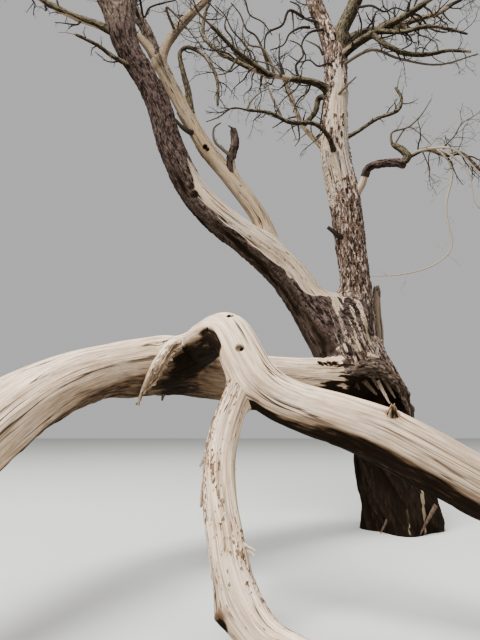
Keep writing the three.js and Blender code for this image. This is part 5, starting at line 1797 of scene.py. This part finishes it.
class DeadPineSizes(PropertyGroup):
    """Sizes that a user would change."""

    coarseness: FloatProperty(name="Coarseness", description="How much coarser the skins are than planned",
                              default=1.0, min=0.5, max=4.0)
    floor_width: FloatProperty(name="Floor width", description="Width of the stage's floor", default=60.0,
                               unit="LENGTH")
    camera_height: FloatProperty(name="Camera height", description="Height of the camera over the ground",
                                 default=1.22, unit="LENGTH")
    camera_pitch: FloatProperty(name="Camera pitch", description="How far the camera looks up",
                                default=math.radians(10.6), subtype="ANGLE")


class DeadPineColours(PropertyGroup):
    """Colours that a user would change."""

    floor: FloatVectorProperty(name="Floor", description="Colour of the stage's floor", subtype="COLOR",
                               default=(0.52, 0.52, 0.50), min=0, max=1)
    sky: FloatVectorProperty(name="Backdrop", description="Colour of the light all round", subtype="COLOR",
                             default=(0.90, 0.90, 0.90), min=0, max=1)


TWIG_GROUPS = {"left": ("left_",), "right": ("right_", "bent_"),
               "leaning": ("leaning_", "second_", "hooked_"), "leaders": ("leader_", "back_", "front_")}


def add_twigs(twigs, name, node=None):
    piece = twigs.piece(name, twig_finishes())
    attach(piece, "root")
    if node:
        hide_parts(node)


GROUND_LIMBS = ("low_limb", "arch_limb", "foot_limb", "torn_splinter", "knot_stub")
STEMS = ("leaning_stem", "upright_stem", "second_stem")


class TREE_OT_trunk(Operator):
    """Makes the fissured trunk with its hollow and its torn lip of bark"""

    bl_idname = "dead_pine.trunk"
    bl_label = "Trunk"

    def execute(self, context):
        dress_limbs(context, ("trunk",))
        fineness = LIP_FINENESS * context.scene.dead_pine_sizes.coarseness
        lip = limb_piece("bark_lip", LIMB["lip"], "torn_bark", fineness)
        lip.data.materials.append(finish_for("torn_bark"))
        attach(lip, "root")
        return {"FINISHED"}


class TREE_OT_stems(Operator):
    """Makes the three stems that rise from the trunk"""

    bl_idname = "dead_pine.stems"
    bl_label = "Stems"

    def execute(self, context):
        dress_limbs(context, STEMS)
        return {"FINISHED"}


class TREE_OT_ground_limbs(Operator):
    """Makes the low limb, the arch and the limbs that reach the ground"""

    bl_idname = "dead_pine.ground_limbs"
    bl_label = "Ground limbs"

    def execute(self, context):
        dress_limbs(context, GROUND_LIMBS)
        return {"FINISHED"}


class TREE_OT_torn_wood(Operator):
    """Makes the loose flakes, spikes and slivers of torn wood"""

    bl_idname = "dead_pine.torn_wood"
    bl_label = "Torn wood"

    def execute(self, context):
        for name, (rgbs, rows) in SHARDS.items():
            bpy.ops.object.select_all(action="DESELECT")
            made = [shard(*row) for row in rows]
            for piece in made:
                piece.select_set(True)
            context.view_layer.objects.active = made[0]
            bpy.ops.object.join()
            piece = context.object
            piece.name = name
            piece.data.materials.append(shard_material(name, rgbs))
            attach(piece, "root")
        return {"FINISHED"}


class TREE_OT_boughs(Operator):
    """Makes the boughs, forks and snags of the crown"""

    bl_idname = "dead_pine.boughs"
    bl_label = "Boughs"

    def execute(self, context):
        rest = [name for name in SKINS if name not in GROUND_LIMBS + STEMS + ("trunk",)]
        dress_limbs(context, rest)
        return {"FINISHED"}


class TREE_OT_twigs(Operator):
    """Grows the twig masses and the twigs along the boughs"""

    bl_idname = "dead_pine.twigs"
    bl_label = "Twigs"

    def execute(self, context):
        crowd = limb_crowd()
        for name in TWIG_MASSES:
            add_twigs(twig_mass(name, crowd), name + "_fine", name)
        add_twigs(small_branches(), "small_branches")
        for side, starts in TWIG_GROUPS.items():
            names = [name for name in TWIGGY_BOUGHS if name.startswith(starts)]
            add_twigs(bough_twigs(names, crowd), "bough_twigs_" + side)
        return {"FINISHED"}


# The lights: their names, places and widths in metres, and powers in watts. Then what they face, and the
# strength of the light all round.
LIGHTS = (("key", (-7.0, -7.0, 15.0), 8.0, 7250.0), ("top", (2.0, 2.0, 17.0), 10.0, 2800.0))
LIGHTS_AIM = (-1.5, -1.0, 3.0)
SKY_STRENGTH = 0.58

# Where the camera stands, its lens and its sensor, in millimetres.
CAMERA_STAND = (-1.85, -6.5)
CAMERA_LENS = 30
SENSOR_WIDTH = 36


class TREE_OT_stage(Operator):
    """Sets the floor, the lights and the camera"""

    bl_idname = "dead_pine.stage"
    bl_label = "Stage"

    def execute(self, context):
        sizes = context.scene.dead_pine_sizes
        colours = context.scene.dead_pine_colours
        bpy.ops.mesh.primitive_plane_add(size=sizes.floor_width, location=(0, 0, 0))
        floor = context.object
        floor.name = "floor"
        floor.data.materials.append(plain_material("floor", tuple(colours.floor), 0.9))
        world = bpy.data.worlds.new("studio")
        context.scene.world = world
        world.use_nodes = True
        sky = world.node_tree.nodes["Background"].inputs
        sky[0].default_value = colour(tuple(colours.sky))
        sky[1].default_value = SKY_STRENGTH
        for name, place, size, power in LIGHTS:
            bpy.ops.object.light_add(type="AREA", location=place)
            light = context.object
            light.name = name
            light.data.size = size
            light.data.energy = power
            aim = np.array(LIGHTS_AIM) - np.array(place)
            flat = math.hypot(aim[0], aim[1])
            light.rotation_euler = (math.atan2(flat, -aim[2]), 0, math.atan2(aim[1], aim[0]) - math.pi / 2)
        bpy.ops.object.camera_add(location=(*CAMERA_STAND, sizes.camera_height),
                                  rotation=(math.pi / 2 + sizes.camera_pitch, 0, 0))
        camera = context.object
        camera.data.lens = CAMERA_LENS
        camera.data.sensor_width = SENSOR_WIDTH
        context.scene.camera = camera
        return {"FINISHED"}


OPERATORS = (TREE_OT_trunk, TREE_OT_stems, TREE_OT_ground_limbs, TREE_OT_torn_wood, TREE_OT_boughs,
             TREE_OT_twigs, TREE_OT_stage)


class TREE_PT_panel(Panel):
    """Lists what makes the dead pine"""

    bl_label = "Dead Pine"
    bl_space_type = "VIEW_3D"
    bl_region_type = "UI"
    bl_category = "Dead Pine"

    def draw(self, context):
        for name in ("coarseness", "floor_width", "camera_height", "camera_pitch"):
            self.layout.prop(context.scene.dead_pine_sizes, name)
        for name in ("floor", "sky"):
            self.layout.prop(context.scene.dead_pine_colours, name)
        for operator in OPERATORS:
            self.layout.operator(operator.bl_idname)


CLASSES = (DeadPineSizes, DeadPineColours, *OPERATORS, TREE_PT_panel)


def register():
    for one in CLASSES:
        bpy.utils.register_class(one)
    bpy.types.Scene.dead_pine_sizes = PointerProperty(type=DeadPineSizes)
    bpy.types.Scene.dead_pine_colours = PointerProperty(type=DeadPineColours)


def unregister():
    del bpy.types.Scene.dead_pine_colours
    del bpy.types.Scene.dead_pine_sizes
    for one in reversed(CLASSES):
        bpy.utils.unregister_class(one)


def main():
    register()
    bpy.ops.object.select_all(action="DESELECT")
    bpy.ops.dead_pine.trunk()
    bpy.ops.dead_pine.stems()
    bpy.ops.dead_pine.ground_limbs()
    bpy.ops.dead_pine.torn_wood()
    bpy.ops.dead_pine.boughs()
    bpy.ops.dead_pine.twigs()
    bpy.ops.dead_pine.stage()


if __name__ == "__main__":
    main()
